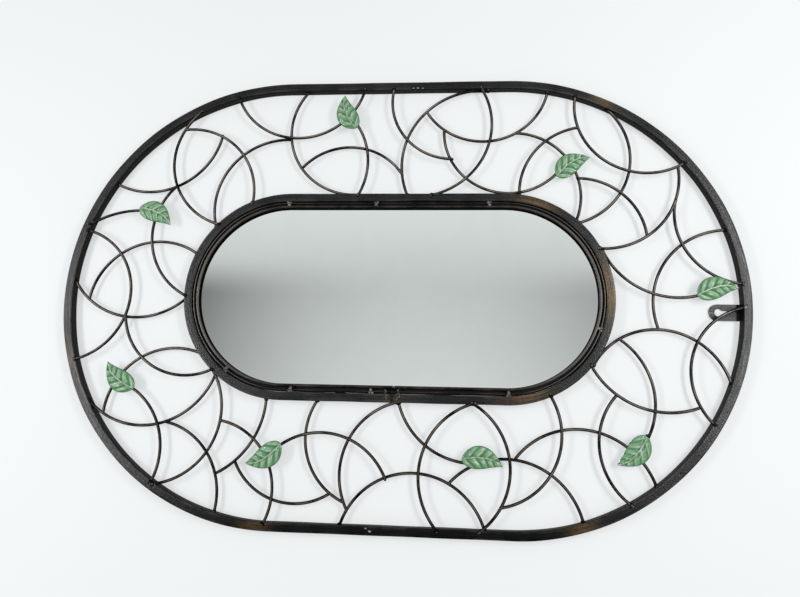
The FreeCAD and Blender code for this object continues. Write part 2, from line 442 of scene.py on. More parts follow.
def bead(middle: np.ndarray, radii: Triple, count: int, lean: float = 0.0) -> Surface:
    """Lump of weld: a ball of latitudes and longitudes whose radius swells with two sine waves.

    Args:
        middle: Place of its middle.
        radii: Half sizes along x, y and z before it is turned.
        count: Number of the bead, which sets the waves' phases.
        lean: Turn from +X towards +Z.

    Returns:
        The lump, marked with how far it faces the viewer.
    """
    rows, around = 7, 8
    swell, ripple = 0.14, 0.08
    latitude = math.pi * (np.arange(rows)[:, None] + 0.5) / rows
    longitude = TURN * np.arange(around)[None, :] / around
    phase = count * GOLDEN_ANGLE
    lump = 1 + swell * np.sin(2 * longitude + phase) * np.sin(latitude)
    lump = lump + ripple * np.sin(3 * longitude - 2 * phase) * np.sin(2 * latitude)
    flat = np.sin(latitude)
    axes = np.broadcast_arrays(flat * np.cos(longitude), -np.cos(latitude), flat * np.sin(longitude))
    ball = np.stack(axes, -1)
    x, y, z = np.moveaxis(ball * lump[..., None] * np.array(radii), -1, 0)
    turned = [x * math.cos(lean) - z * math.sin(lean), y, x * math.sin(lean) + z * math.cos(lean)]
    return skin(middle + np.stack(turned, -1), False, {"front": np.maximum(-ball[..., 1], 0)})


# Small tools for finishes


def linear(colour: str) -> Four:
    """Turns an sRGB hex colour into linear light.

    Args:
        colour: Six hex digits after a hash.

    Returns:
        Red, green, blue and an alpha of 1.
    """
    shares = [int(colour[k : k + 2], 16) / 255 for k in (1, 3, 5)]
    light = [c / 12.92 if c <= 0.04045 else ((c + 0.055) / 1.055) ** 2.4 for c in shares]
    return (*light, 1.0)


def per_mm(size: float) -> float:
    """Scale of a pattern in metres whose features are a size in mm."""
    return 1 / (size * MM)


def add_node(
    tree: bpy.types.NodeTree, kind: str, inputs: dict | tuple = (), out: str | int = 0, **settings: object
) -> bpy.types.NodeSocket | None:
    """Adds one shader node with its settings, values and links.

    Args:
        tree: The tree that it goes into.
        kind: Blender's name of the node's type.
        inputs: Values, or sockets to link from, in the order of the node's inputs or by name or number.
        out: The output that is handed back.
        settings: Properties of the node.

    Returns:
        The chosen output, or None for a node without outputs.
    """
    node = tree.nodes.new(kind)
    for name, value in settings.items():
        setattr(node, name, value)
    for key, value in inputs.items() if isinstance(inputs, dict) else enumerate(inputs):
        if isinstance(value, bpy.types.NodeSocket):
            tree.links.new(value, node.inputs[key])
        else:
            node.inputs[key].default_value = value
    return node.outputs[out] if node.outputs else None


def new_material(name: str) -> tuple[bpy.types.Material, Adder]:
    """Starts an empty node material.

    Args:
        name: The real material and how its surface was made.

    Returns:
        The material, and add_node bound to its node tree.
    """
    material = bpy.data.materials.new(name)
    material.use_nodes = True
    material.node_tree.nodes.clear()
    return material, partial(add_node, material.node_tree)


def end_material(add: Adder, ground: str, layers: tuple, inputs: dict) -> None:
    """Lays colours over a ground, each where its mask is 1, and links the shader to the output.

    Args:
        add: Adds a node to the finish.
        ground: Hex colour of the ground.
        layers: Mask and hex colour of each layer, from the ground up.
        inputs: The shader's other inputs, by name.
    """
    colour = linear(ground)
    for mask, hue in layers:
        colour = add(MIX, {MIX_FACTOR: mask, MIX_A: colour, MIX_B: linear(hue)}, **BLEND)
    shader = add("ShaderNodeBsdfPrincipled", {"Base Color": colour, **inputs})
    add("ShaderNodeOutputMaterial", {"Surface": shader})


def painted_shade_side(add: Adder, span: Pair) -> bpy.types.NodeSocket:
    """Marks the side towards +X, the lower one in the picture, where shade is painted in as darker paint with
    less sheen.

    Args:
        add: Adds a node to the finish.
        span: X where the mark starts and where it is full.

    Returns:
        A mark that grows from 0 to 1.
    """
    place = add("ShaderNodeTexCoord", out="Object")
    across = add("ShaderNodeSeparateXYZ", {0: place}, "X")
    return add(RANGE, (across, span[0] * MM, span[1] * MM))


# Finishes


@dataclass(frozen=True)
class BlackPaint:
    """Satin black paint brushed on mild steel and rubbed back by hand.

    The eye gets a near black with a soft sheen where a lamp grazes it, fine lines along the steel,
    paler edges, partly wear and partly a painted highlight, and a few warm patches where the rubbing
    reached brown. The walls of a bar keep their black mill scale, a dull dark metal that also paints
    their shade, and towards +X shade is painted in as darker paint with less sheen.
    """

    name: str = "Black paint brushed on steel bar"
    grain: Grain = Grain.ALONG_BAR
    deep: str = "#040405"
    lifted: str = "#1F2022"
    rubbed: str = "#886A3E"
    # paler edges: partly wear, partly a painted highlight along the rounded edges
    edge_wear_and_highlight: str = "#3E3B37"
    # walls: real mill scale, a dull dark metal that also paints their shade
    scale: str = "#2A2A29"
    roughness: float = 0.36
    roughness_spread: float = 0.44
    scale_roughness: float = 1.0
    mottle_mm: float = 26.0
    line_length_mm: float = 70.0
    line_width_mm: float = 1.3
    grit_mm: float = 1.7
    grit_depth_mm: float = 0.4
    grit_share: float = 0.45
    patch_mm: float = 4.5
    patch_share: float = 0.5
    relief: float = 0.8
    lift_span: Pair = (0.39, 0.6)
    chip_span: Pair = (0.42, 0.66)
    chip_share: float = 0.7
    rub_span: Pair = (0.5, 0.95)
    rub_share: float = 0.95
    line_span: Pair = (0.25, 0.75)
    # painted shade towards +X: the lifted mottle and the sheen fall off there
    shade_span: Pair = (225.0, 290.0)
    shaded_sheen: float = 0.2

    def material(self) -> bpy.types.Material:
        """Builds the paint: mottled black, lines, rubbed patches and edges, with grit in the surface.

        Returns:
            The material.
        """
        material, add = new_material(self.name)
        course = place = add("ShaderNodeTexCoord", out="Object")
        long, narrow = per_mm(self.line_length_mm), per_mm(self.line_width_mm)
        stretch = (narrow, narrow, long)
        if self.grain is Grain.ALONG_BAR:
            course = add("ShaderNodeUVMap", uv_map=BAR_MAP)
            stretch = (long, narrow, 1.0)
        drawn = add("ShaderNodeMapping", {"Vector": course, "Scale": stretch})
        lines = add(NOISE, {"Vector": drawn, "Scale": 1.0, "Detail": 3.0})
        mottle, grit, patch = (
            add(NOISE, {"Vector": place, "Scale": per_mm(size), "Detail": detail})
            for size, detail in ((self.mottle_mm, 6.0), (self.grit_mm, 2.0), (self.patch_mm, 4.0))
        )
        edge, rub, side = (add(MARK, out="Fac", attribute_name=mark) for mark in ("edge", "rub", "side"))
        matt = painted_shade_side(add, self.shade_span)
        # painted shade: less lifted mottle towards +X
        thin = add(RANGE, (matt, 0.0, 1.0, 1.0, self.shaded_sheen))
        shade = add(MATH, (mottle, lines), operation="MULTIPLY")
        grain = add(MATH, (grit, self.grit_share, shade), operation="MULTIPLY_ADD")
        lift = add(RANGE, (grain, *self.lift_span))
        lifted = add(MATH, (lift, thin), operation="MULTIPLY")
        chipped = add(RANGE, (mottle, *self.chip_span, 0.0, self.chip_share))
        # paler rounded edges: wear plus a painted highlight
        edge_wear_and_highlight_mask = add(MATH, (edge, chipped), operation="MULTIPLY")
        smeared = add(MATH, (patch, self.patch_share, lines), operation="MULTIPLY_ADD")
        patchy = add(RANGE, (smeared, *self.rub_span, 0.0, self.rub_share))
        rubbing = add(MATH, (rub, patchy), operation="MULTIPLY")
        layers = ((lifted, self.lifted), (edge_wear_and_highlight_mask, self.edge_wear_and_highlight), (rubbing, self.rubbed), (side, self.scale))
        spread = self.roughness_spread / 2
        sheens = (self.roughness - spread, self.roughness + spread)
        brushed = add(RANGE, (lines, *self.line_span, *sheens))
        # on the walls, dull dark metal that also paints their shade
        sheen = add(MIX, {0: side, 2: brushed, 3: self.scale_roughness}, data_type="FLOAT")
        height = add(MATH, (grit, lines), operation="ADD")
        bump = {"Height": height, "Strength": self.relief, "Distance": self.grit_depth_mm * MM}
        inputs = {
            "Roughness": sheen,
            "Normal": add("ShaderNodeBump", bump),
            "Metallic": side,
            # painted shade: less sheen towards +X
            "Specular IOR Level": add(RANGE, (matt, 0.0, 1.0, FULL_SHEEN, self.shaded_sheen)),
        }
        end_material(add, self.deep, layers, inputs)
        return material


@dataclass(frozen=True)
class RubbedWire:
    """Drawn steel wire, painted black and rubbed so that brown shows on its crest.

    The eye gets a dark brown wire with a broken paler streak along the front, partly rubbed wear and
    partly a painted highlight, and bare tips with a painted glint. Its flanks keep the black mill
    scale, a dull dark metal that also paints their shade, and towards +X shade is painted in.
    """

    name: str = "Black paint rubbed back on drawn wire"
    ground: str = "#080706"
    brown: str = "#1B1714"
    # paler crest colour: partly rubbed wear, partly a painted highlight
    crest: str = "#9A9085"
    # bare steel; on weld tops, lapped tips and the rod's ends it is a painted glint or highlight
    bare: str = "#A8A49D"
    scale: str = "#121110"
    # flanks: real mill scale, a dull dark metal that also paints their shade
    roughness: float = 0.32
    roughness_spread: float = 0.1
    scale_roughness: float = 1.0
    ior: float = 1.3
    streak_mm: float = 26.0
    fleck_mm: float = 2.2
    fleck_depth_mm: float = 0.08
    fleck_share: float = 0.3
    relief: float = 0.4
    warm_span: Pair = (0.35, 0.65)
    worn_span: Pair = (0.5, 0.88)
    crest_span: Pair = (0.82, 1.0)
    flank_span: Pair = (0.2, 0.75)
    # painted shade towards +X: less pale crest and less sheen there
    shade_span: Pair = (110.0, 200.0)
    shaded_sheen: float = 0.1
    shaded_rub: float = 0.5

    def material(self) -> bpy.types.Material:
        """Builds the wire's finish from its crest and tip marks, broken up by two noises.

        Returns:
            The material.
        """
        material, add = new_material(self.name)
        place = add("ShaderNodeTexCoord", out="Object")
        streak, fleck = (
            add(NOISE, {"Vector": place, "Scale": per_mm(size), "Detail": detail})
            for size, detail in ((self.streak_mm, 4.0), (self.fleck_mm, 3.0))
        )
        front, tip = (add(MARK, out="Fac", attribute_name=mark) for mark in ("front", "tip"))
        matt = painted_shade_side(add, self.shade_span)
        warm = add(RANGE, (streak, *self.warm_span))
        broken = add(MATH, (fleck, self.fleck_share, streak), operation="MULTIPLY_ADD")
        worn = add(RANGE, (broken, *self.worn_span))
        # painted shade: less of the pale crest towards +X
        kept = add(RANGE, (matt, 0.0, 1.0, 1.0, self.shaded_rub))
        reached = add(MATH, (worn, kept), operation="MULTIPLY")
        # the crest streak: rubbed wear plus a painted highlight where the wire faces the viewer
        crest = add(RANGE, (front, *self.crest_span))
        rubbing = add(MATH, (crest, reached), operation="MULTIPLY")
        # painted shade on the flanks: dull dark metal where the wire turns away
        flank_scale_and_shade = add(RANGE, (front, *self.flank_span, 1.0, 0.0))
        layers = ((warm, self.brown), (rubbing, self.crest), (tip, self.bare), (flank_scale_and_shade, self.scale))
        low, high = self.roughness - self.roughness_spread, self.roughness + self.roughness_spread
        crown = add(RANGE, (fleck, 0.0, 1.0, low, high))
        sheen = add(MIX, {0: flank_scale_and_shade, 2: crown, 3: self.scale_roughness}, data_type="FLOAT")
        bump = {"Height": fleck, "Strength": self.relief, "Distance": self.fleck_depth_mm * MM}
        inputs = {
            "Roughness": sheen,
            "Normal": add("ShaderNodeBump", bump),
            "Metallic": flank_scale_and_shade,
            "IOR": self.ior,
            # painted shade: less sheen towards +X
            "Specular IOR Level": add(RANGE, (matt, 0.0, 1.0, FULL_SHEEN, self.shaded_sheen)),
        }
        end_material(add, self.ground, layers, inputs)
        return material


@dataclass(frozen=True)
class LeafEnamel:
    """Green enamel sprayed on a pressed steel leaf, wiped so that the veins stay pale.

    The eye gets a glossy mid green with shade painted in its hollows and just past each vein, a
    highlight painted on the pillows' crests, pale veins and a thin dark rim.
    """

    name: str = "Green enamel sprayed on pressed steel"
    green: str = "#70A174"
    shade: str = "#2C6036"
    # pale: colour of the painted highlight on the pillows' crests
    pale: str = "#C2D3BC"
    vein: str = "#CFDCCA"
    rim: str = "#2A3F2E"
    sheen: Pair = (0.16, 0.32)
    cloud_mm: float = 4.6
    cloud_span: Pair = (0.3, 0.75)
    cloud_share: float = 0.45
    wipe_span: Pair = (0.38, 0.62)
    # levels of that painted highlight
    highlight_levels: Pair = (0.1, 0.9)
    wiped: Pair = (0.3, 0.95)
    peel_mm: float = 1.6
    peel_depth_mm: float = 0.06
    relief: float = 0.25

    def material(self) -> bpy.types.Material:
        """Builds the enamel from the leaf's marks, clouded, with a light orange peel.

        Returns:
            The material.
        """
        material, add = new_material(self.name)
        place = add("ShaderNodeTexCoord", out="Object")
        cloud, peel = (
            add(NOISE, {"Vector": place, "Scale": per_mm(size), "Detail": detail})
            for size, detail in ((self.cloud_mm, 4.0), (self.peel_mm, 1.0))
        )
        vein, hollow, crest, rim = (
            add(MARK, out="Fac", attribute_name=mark) for mark in ("vein", "hollow", "crest", "rim")
        )
        cloudy = add(RANGE, (cloud, *self.cloud_span, 0.0, self.cloud_share))
        # painted shade in the hollows, over random clouding
        depth = add(MATH, (cloudy, hollow), operation="ADD", use_clamp=True)
        patchy, uneven = (add(RANGE, (cloud, *self.wipe_span, *to)) for to in (self.highlight_levels, self.wiped))
        # painted highlight on the pillows' crests
        painted_highlight = add(MATH, (crest, patchy), operation="MULTIPLY")
        wiping = add(MATH, (vein, uneven), operation="MULTIPLY")
        layers = ((depth, self.shade), (painted_highlight, self.pale), (wiping, self.vein), (rim, self.rim))
        sheen = add(RANGE, (cloud, 0.0, 1.0, *self.sheen))
        bump = {"Height": peel, "Strength": self.relief, "Distance": self.peel_depth_mm * MM}
        normal = add("ShaderNodeBump", bump)
        end_material(add, self.green, layers, {"Roughness": sheen, "Normal": normal})
        return material


@dataclass(frozen=True)
class SilveredGlass:
    """Float glass silvered on its back, wiped clean by hand.

    The eye gets a clear, faintly green reflection with the last trace of a wipe in it.
    """

    name: str = "Silvered float glass, wiped"
    silver: str = "#E9ECEA"
    hazed: str = "#E2E6E3"
    haze: Pair = (0.008, 0.03)
    wipe_mm: float = 60.0
    swirl: float = 1.5

    def material(self) -> bpy.types.Material:
        """Builds the mirror: full metal, with broad wipes in its tint and roughness.

        Returns:
            The material.
        """
        material, add = new_material(self.name)
        place = add("ShaderNodeTexCoord", out="Object")
        wipes = {"Vector": place, "Scale": per_mm(self.wipe_mm), "Detail": 3.0, "Distortion": self.swirl}
        wipe = add(NOISE, wipes)
        haze = add(RANGE, (wipe, 0.0, 1.0, *self.haze))
        end_material(add, self.silver, ((wipe, self.hazed),), {"Roughness": haze, "Metallic": 1.0})
        return material


@dataclass(frozen=True)
class Hardboard:
    """Wood fibre pressed on a wire screen.

    The eye gets a matt brown board with pale and dark fibres and the screen's small squares. The face
    towards the glass is black, as painted shade for the deep gap round the glass's edge.
    """

    name: str = "Hardboard pressed on a screen"
    brown: str = "#7B5734"
    pale: str = "#A37B4F"
    dark: str = "#4F3820"
    # black face towards the glass: painted shade for the deep gap at its edge
    gap_shade: str = "#090807"
    gap_shade_beyond_mm: float = -2.4
    roughness: float = 0.82
    fibre_length_mm: float = 9.0
    fibre_width_mm: float = 0.7
    fibre_span: Pair = (0.4, 0.7)
    swirl: float = 2.0
    cloud_mm: float = 72.0
    cloud_span: Pair = (0.45, 0.75)
    cloud_share: float = 0.6
    screen_mm: float = 3.016
    screen_depth_mm: float = 0.25
    relief: float = 0.6

    def material(self) -> bpy.types.Material:
        """Builds the board: two fibre noises and a screen of crossed sine waves as relief.

        Returns:
            The material.
        """
        material, add = new_material(self.name)
        place = add("ShaderNodeTexCoord", out="Object")
        fibre_scale = (per_mm(self.fibre_length_mm), 1.0, per_mm(self.fibre_width_mm))
        course = add("ShaderNodeMapping", {"Vector": place, "Scale": fibre_scale})
        fibres = {"Vector": course, "Scale": 1.0, "Detail": 5.0, "Distortion": self.swirl}
        light = add(RANGE, (add(NOISE, fibres), *self.fibre_span))
        cloud = add(NOISE, {"Vector": place, "Scale": per_mm(self.cloud_mm), "Detail": 3.0})
        deep = add(RANGE, (cloud, *self.cloud_span, 0.0, self.cloud_share))
        depth = add("ShaderNodeSeparateXYZ", {0: place}, "Y")
        # painted shade on the face towards the glass
        front = add(MATH, (depth, self.gap_shade_beyond_mm * MM), operation="LESS_THAN")
        layers = ((light, self.pale), (deep, self.dark), (front, self.gap_shade))
        bands = {"Vector": place, "Scale": per_mm(self.screen_mm) * WAVE_PERIOD}
        upright, level = (add("ShaderNodeTexWave", bands, bands_direction=way) for way in "XZ")
        screen = add(MATH, (upright, level), operation="MULTIPLY")
        bump = {"Height": screen, "Strength": self.relief, "Distance": self.screen_depth_mm * MM}
        normal = add("ShaderNodeBump", bump)
        end_material(add, self.brown, layers, {"Roughness": self.roughness, "Normal": normal})
        return material


# Sub-assemblies


@dataclass
class BarRing:
    """Ring of flat bar, bent to a stadium and welded end to end.

    Attributes:
        node: The solid that it stands for.
        finish: Its paint.
        edge_radius: Rounding of the bar's long edges.
        sections: Sections round the ring.
        waviness: How much the faces give way where the bar was bent and filed.
        waves: Number of such waves round the ring.
        rubs: Places where the paint is rubbed brown: x and z from the ring's middle, reach and strength.
        burns: Places where it is burnt down to the black scale, given the same way.
        specks: Spots of weld spatter on the front: x and z from the ring's middle, and radius.
        spatter: Finish of the spatter.
        speck_sink: Depth of a speck's middle behind the front face.
        speck_rise: Half its thickness.
        speck_stretch: Its length along the ring's height as a share of its width.
        speck_bare: Share of bare steel on its crest.
    """

    node: str
    finish: BlackPaint
    edge_radius: float = 1.0
    sections: int = 480
    waviness: float = 0.22
    waves: int = 23
    rubs: tuple[Four, ...] = ()
    burns: tuple[Four, ...] = ()
    specks: tuple[Triple, ...] = ()
    spatter: RubbedWire | None = None
    speck_sink: float = 0.4
    speck_rise: float = 0.9
    speck_stretch: float = 1.6
    speck_bare: float = 0.8

    def section(self, width: float, depth: float) -> tuple[np.ndarray, np.ndarray, np.ndarray]:
        """Rounded rectangle: four corner arcs in turn, with points spread over the flats between.

        Args:
            width: Size of the bar across its front.
            depth: Size of the bar from front to back.

        Returns:
            Points as offsets across and in depth, shape (n, 2), a mark of 1 on the corner arcs, and a mark
            of 1 on the two walls.
        """
        arc_points, flat_points = 5, 3
        turn = np.linspace(0, math.pi / 2, arc_points)
        inner = np.array([width / 2 - self.edge_radius, depth / 2 - self.edge_radius])
        quarters = np.arange(4) * math.pi / 2
        signs = np.stack([np.cos(quarters + math.pi / 4), np.sin(quarters + math.pi / 4)], -1) * math.sqrt(2)
        angle = quarters[:, None] + turn
        arcs = (signs * inner)[:, None, :] + self.edge_radius * np.stack([np.cos(angle), np.sin(angle)], -1)
        share = np.linspace(0, 1, flat_points + 2)[1:-1, None]
        flats = arcs[:, -1:, :] * (1 - share) + np.roll(arcs, -1, axis=0)[:, :1, :] * share
        edge = np.concatenate([np.ones((4, arc_points)), np.zeros((4, flat_points))], axis=1)
        points = np.concatenate([arcs, flats], axis=1).reshape(-1, 2)
        side = np.abs(points[:, 0]) > width / 2 - 0.1 * self.edge_radius
        return points, edge.reshape(-1), side.astype(float)

    def build(self) -> None:
        """Carries the bar's section round the ring and marks its edges, walls and rubbed places."""
        solid = node_points(self.node)
        outline = Stadium.around(solid)
        reach = outline.reach(solid)
        width = np.ptp(reach)
        middle = outline.at(outline.radius - width / 2)
        profile, edge, side = self.section(width, np.ptp(solid[:, 1]))
        station = np.linspace(0, middle.length, self.sections, endpoint=False)[:, None]
        turn = TURN * station / middle.length
        give = self.waviness / 2 * (1 + np.sin(self.waves * turn + np.sin(3 * turn)))
        yield_back = self.waviness / 2 * (1 + np.cos((self.waves - 4) * turn + np.sin(2 * turn)))
        across = profile[:, 0] - np.sign(profile[:, 0]) * give
        depth = middle_of(solid)[1] + profile[:, 1] - np.sign(profile[:, 1]) * yield_back
        rows = middle.carried(station, across, depth)
        rub = self.blotches(rows, outline, self.rubs)
        # the walls get the dull dark metal that also paints their shade; the burns are real burnt patches at
        # the joint
        scale = np.maximum(side, self.blotches(rows, outline, self.burns))
        marks = {"edge": np.broadcast_to(edge, rub.shape), "side": scale, "rub": rub}
        surface = skin(rows, True, marks)
        surface.quad_map = self.corner_map(surface, station[:, 0], profile, middle.length)
        if self.specks:
            self.spots(outline, solid[:, 1].min())
        new_piece(self.node + "_bar", surface, self.finish.material(), Slot.BLACK_STEEL, self.node)

    @staticmethod
    def blotches(rows: np.ndarray, outline: Stadium, places: tuple[Four, ...]) -> np.ndarray:
        """Marks round places: the strongest of their bell curves, strength * exp(-(distance / reach)^2).

        Args:
            rows: Points of the ring's sections.
            outline: Outline of the ring.
            places: X and z from the ring's middle, reach and strength of each.

        Returns:
            A mark for each point.
        """
        mark = np.zeros(rows.shape[:2])
        for x, z, size, strength in places:
            away = np.hypot(rows[..., 0] - outline.centre_x - x, rows[..., 2] - outline.centre_z - z)
            mark = np.maximum(mark, strength * np.exp(-((away / size) ** 2)))
        return mark

    def spots(self, outline: Stadium, front: float) -> None:
        """Sets a flat bead on the front face at each speck.

        Args:
            outline: Outline of the ring.
            front: Y of the front face.
        """
        lumps = []
        for count, (x, z, size) in enumerate(self.specks):
            place = np.array([outline.centre_x + x, front + self.speck_sink, outline.centre_z + z])
            lumps.append(bead(place, (size, self.speck_rise, self.speck_stretch * size), count))
        surface = joined(lumps)
        surface.marks["tip"] = self.speck_bare * surface.marks["front"] ** 2
        new_piece(self.node + "_spatter", surface, self.spatter.material(), Slot.BLACK_STEEL)

    @staticmethod
    def corner_map(surface: Surface, station: np.ndarray, profile: np.ndarray, length: float) -> np.ndarray:
        """Map of the bar's skin rolled flat: way along the ring and way round the section.

        Args:
            surface: The ring's skin.
            station: Way of each section.
            profile: The section's points.
            length: Way round the ring.

        Returns:
            Coordinates of each quad's corners in mm, with both seams carried past their ends.
        """
        around = len(profile)
        steps = np.hypot(*(np.roll(profile, -1, axis=0) - profile).T)
        girth = np.concatenate([[0], np.cumsum(steps)])
        row, column = np.divmod(surface.quads, around)
        last_row = (row == 0) & (row.max(axis=1, keepdims=True) == len(station) - 1)
        last_column = (column == 0) & (column.max(axis=1, keepdims=True) == around - 1)
        along = np.where(last_row, length, station[row])
        return np.stack([along, girth[np.where(last_column, around, column)]], -1)


@dataclass
class GlassRetainer:
    """Oval rod that holds the glass from the front, and the tacks that hold the rod.

    Attributes:
        finish: The rod's paint.
        weld_finish: Finish of the tacks and of the joint.
        felt_finish: Finish of the felt round the edge of the glass.
        joint_way: Where the rod's two ends meet, as a way up from the middle of the right side.
        overlap: Way over which the two ends lie in each other's weld.
        end_flat: Depth of the flat at a round end's tip.
        inset: How far the rod was bent further in than its solid.
        sag: How much further in it lies along the right side.
        seams: Weld seams over the joint: x and z of both ends from the ring's middle.
        seam_pitch: Way between the lumps of a seam.
        seam_radii: Half sizes of such a lump.
        seam_sway: How far a lump strays to the side.
        seam_swell: How much its size strays.
        seam_sink: Depth of its middle behind the face that it lies on.
        seam_bare: Share of bare steel on its crest.
        filler: Place of the weld that fills the joint, from the ring's middle.
        filler_radii: Its half sizes.
        filler_sink: Depth of its middle behind the rod's crest.
        squareness: Power of the section's superellipse, where 2 is round.
        sides: Sides of the rod's section.
        sections: Sections along the rod.
        felt_edge: Space between felt and ring.
        felt_width: How far the felt reaches in from the ring's wall, over the edge of the glass.
        felt_thickness: Its thickness, with the glass that it wraps.
        felt_base: Height of its middle over the board, as a share of that.
        lip_thickness: Thickness of the thin wire between ring and rod.
        lip_share: Its place in the gap, as a share from the ring's wall.
        lip_depth: Its middle's depth behind the rod's crest.
        end_highlight: Share of a painted highlight on rod and wire at the middle of the two round ends.
        tack_radii: Half sizes of a tack: from ring to rod, in depth and along the rod.
        tack_lobes: Its lumps: place across and along, and share of those sizes.
        tack_forward: How far a tack stands in front of its solid's middle.
        tack_bare: Share of bare steel on a tack's crest.
        tack_reach: More than a tack's length, and less than the way to the next.
    """

    finish: RubbedWire
    weld_finish: RubbedWire
    felt_finish: BlackPaint
    joint_way: float = 2.0
    overlap: float = 3.0
    end_flat: float = 0.1
    inset: float = 0.9
    sag: float = 1.5
    seams: tuple[Four, ...] = (
        (125.2, -9.0, 138.0, -6.5),
        (125.2, 7.0, 131.4, 10.1),
        (131.4, 10.1, 138.5, 5.1),
    )
    seam_pitch: float = 2.2
    seam_radii: Triple = (2.0, 1.0, 1.7)
    seam_sway: float = 0.7
    seam_swell: float = 0.3
    seam_sink: float = 0.5
    seam_bare: float = 0.17
    filler: Pair = (127.4, -0.4)
    filler_radii: Triple = (3.4, 1.8, 6.4)
    filler_sink: float = 2.4
    squareness: float = 3.4
    sides: int = 20
    sections: int = 420
    felt_edge: float = 0.1
    felt_width: float = 8.3
    felt_thickness: float = 3.0
    felt_base: float = 0.55
    lip_thickness: float = 1.5
    lip_share: float = 0.42
    lip_depth: float = 1.2
    end_highlight: float = 0.22
    tack_radii: Triple = (4.9, 2.7, 3.9)
    tack_lobes: tuple[Triple, ...] = ((-2.3, 0.5, 0.8), (1.6, -1.4, 0.72), (1.2, 1.9, 0.55))
    tack_forward: float = 1.2
    tack_bare: float = 0.38
    tack_reach: float = 20.0

    def build(self) -> None:
        """Carries the rod's section along its stadium, then lays lip, felt, tacks and joint."""
        solid = node_points("retaining_rod")
        outline = Stadium.around(solid)
        half_width = np.ptp(outline.reach(solid)) / 2
        half_depth = np.ptp(solid[:, 1]) / 2
        middle = outline.at(outline.radius - half_width - self.inset)
        start = self.joint_way - self.overlap / 2
        way = np.linspace(0, middle.length + self.overlap, self.sections)[:, None]
        from_end = np.minimum(way, way[::-1])
        full = rounded(from_end + self.end_flat, half_width)
        aside, ahead = self.section()
        depth = middle_of(solid)[1] - half_depth * full * ahead
        rows = middle.carried((start + way) % middle.length, half_width * full * aside, depth)
        rows[..., 0] -= self.sag * eased((rows[..., 0] - middle.centre_x) / middle.radius)
        surface = skin(rows, False, self.crest_and_end_light(rows, ahead, middle))
        new_piece("glass_rod", surface, self.finish.material(), Slot.BLACK_STEEL, "retaining_rod")
        self.lip(solid, middle, half_width)
        weld = self.weld_finish.material()
        self.tacks(weld, middle)
        self.joint(weld)

    def tacks(self, weld: bpy.types.Material, middle: Stadium) -> None:
        """Sets a few beads side by side at each tack, turned with the rod.

        Args:
            weld: Finish of the weld.
            middle: Middle line of the rod.
        """
        lumps = []
        for count, tack in enumerate(clusters(node_points("rod_tacks"), self.tack_reach)):
            place = middle_of(tack)
            up = np.clip(place[2] - middle.centre_z, -middle.half_straight, middle.half_straight)
            lean = math.atan2(place[2] - middle.centre_z - up, place[0] - middle.centre_x)
            place = place - (0, self.tack_forward, 0)
            flip = math.copysign(1.0, math.sin(GOLDEN_ANGLE * count))
            for across, along, share in self.tack_lobes:
                along = flip * along
                x = across * math.cos(lean) - along * math.sin(lean)
                z = across * math.sin(lean) + along * math.cos(lean)
                radii = tuple(share * radius for radius in self.tack_radii)
                lobe = bead(place + (x, 0, z), radii, len(lumps), lean)
                lobe.marks["tip"] = self.tack_bare * share * lobe.marks["front"] ** 2
                lumps.append(lobe)
        new_piece("rod_weld_tacks", joined(lumps), weld, Slot.BLACK_STEEL, "rod_tacks")

    def joint(self, weld: bpy.types.Material) -> None:
        """Welds ring and rod where their ends meet: rows of small beads and one large one between.

        Args:
            weld: Finish of the weld.
        """
        outline, inner_wall = ring_walls("inner_ring")
        front, rod_front = (node_points(node)[:, 1].min() for node in ("inner_ring", "retaining_rod"))
        centre = np.array([outline.centre_x, 0, outline.centre_z])
        lumps = []
        for x0, z0, x1, z1 in self.seams:
            for share in np.arange(0, 1, self.seam_pitch / math.hypot(x1 - x0, z1 - z0)):
                sway = math.sin(GOLDEN_ANGLE * len(lumps))
                x, z = x0 + share * (x1 - x0), z0 + share * (z1 - z0) + self.seam_sway * sway
                depth = front if x > inner_wall else rod_front
                radii = tuple(radius * (1 + self.seam_swell * sway) for radius in self.seam_radii)
                lumps.append(bead(centre + (x, depth + self.seam_sink, z), radii, len(lumps)))
        place = (self.filler[0], rod_front + self.filler_sink, self.filler[1])
        lumps.append(bead(centre + place, self.filler_radii, 0))
        surface = joined(lumps)
        surface.marks["tip"] = self.seam_bare * surface.marks["front"] ** 2
        surface.marks["tip"][-len(lumps[-1].points) :] = 0
        new_piece("ring_joint_weld", surface, weld, Slot.BLACK_STEEL)

    def lip(self, solid: np.ndarray, middle: Stadium, half_width: float) -> None:
        """Lays a thin wire between ring and rod, and felt under both: sections carried along a stadium.

        Args:
            solid: Points of the solid rod.
            middle: Middle line of the rod.
            half_width: Half the rod's width.
        """
        _, inner_wall = ring_walls("inner_ring")
        gap = inner_wall - middle.radius - half_width
        path = middle.at(inner_wall - self.lip_share * gap)
        station = np.linspace(0, path.length, self.sections, endpoint=False)[:, None]
        aside, ahead = self.section()
        half = self.lip_thickness / 2
        rows = path.carried(station, half * aside, solid[:, 1].min() + self.lip_depth - half * ahead)
        rows[..., 0] -= self.lip_share * self.sag * eased((rows[..., 0] - middle.centre_x) / middle.radius)
        surface = skin(rows, True, self.crest_and_end_light(rows, ahead, middle))
        new_piece("glass_lip_wire", surface, self.finish.material(), Slot.BLACK_STEEL)
        outer, inner = inner_wall - self.felt_edge, inner_wall - self.felt_width
        seat = node_points("backing_board")[:, 1].min()
        felt = seat - self.felt_thickness * (self.felt_base + ahead / 2)
        rows = middle.at((outer + inner) / 2).carried(station, (outer - inner) / 2 * aside, felt)
        new_piece("glass_felt", skin(rows, True), self.felt_finish.material(), Slot.BLACK_STEEL)

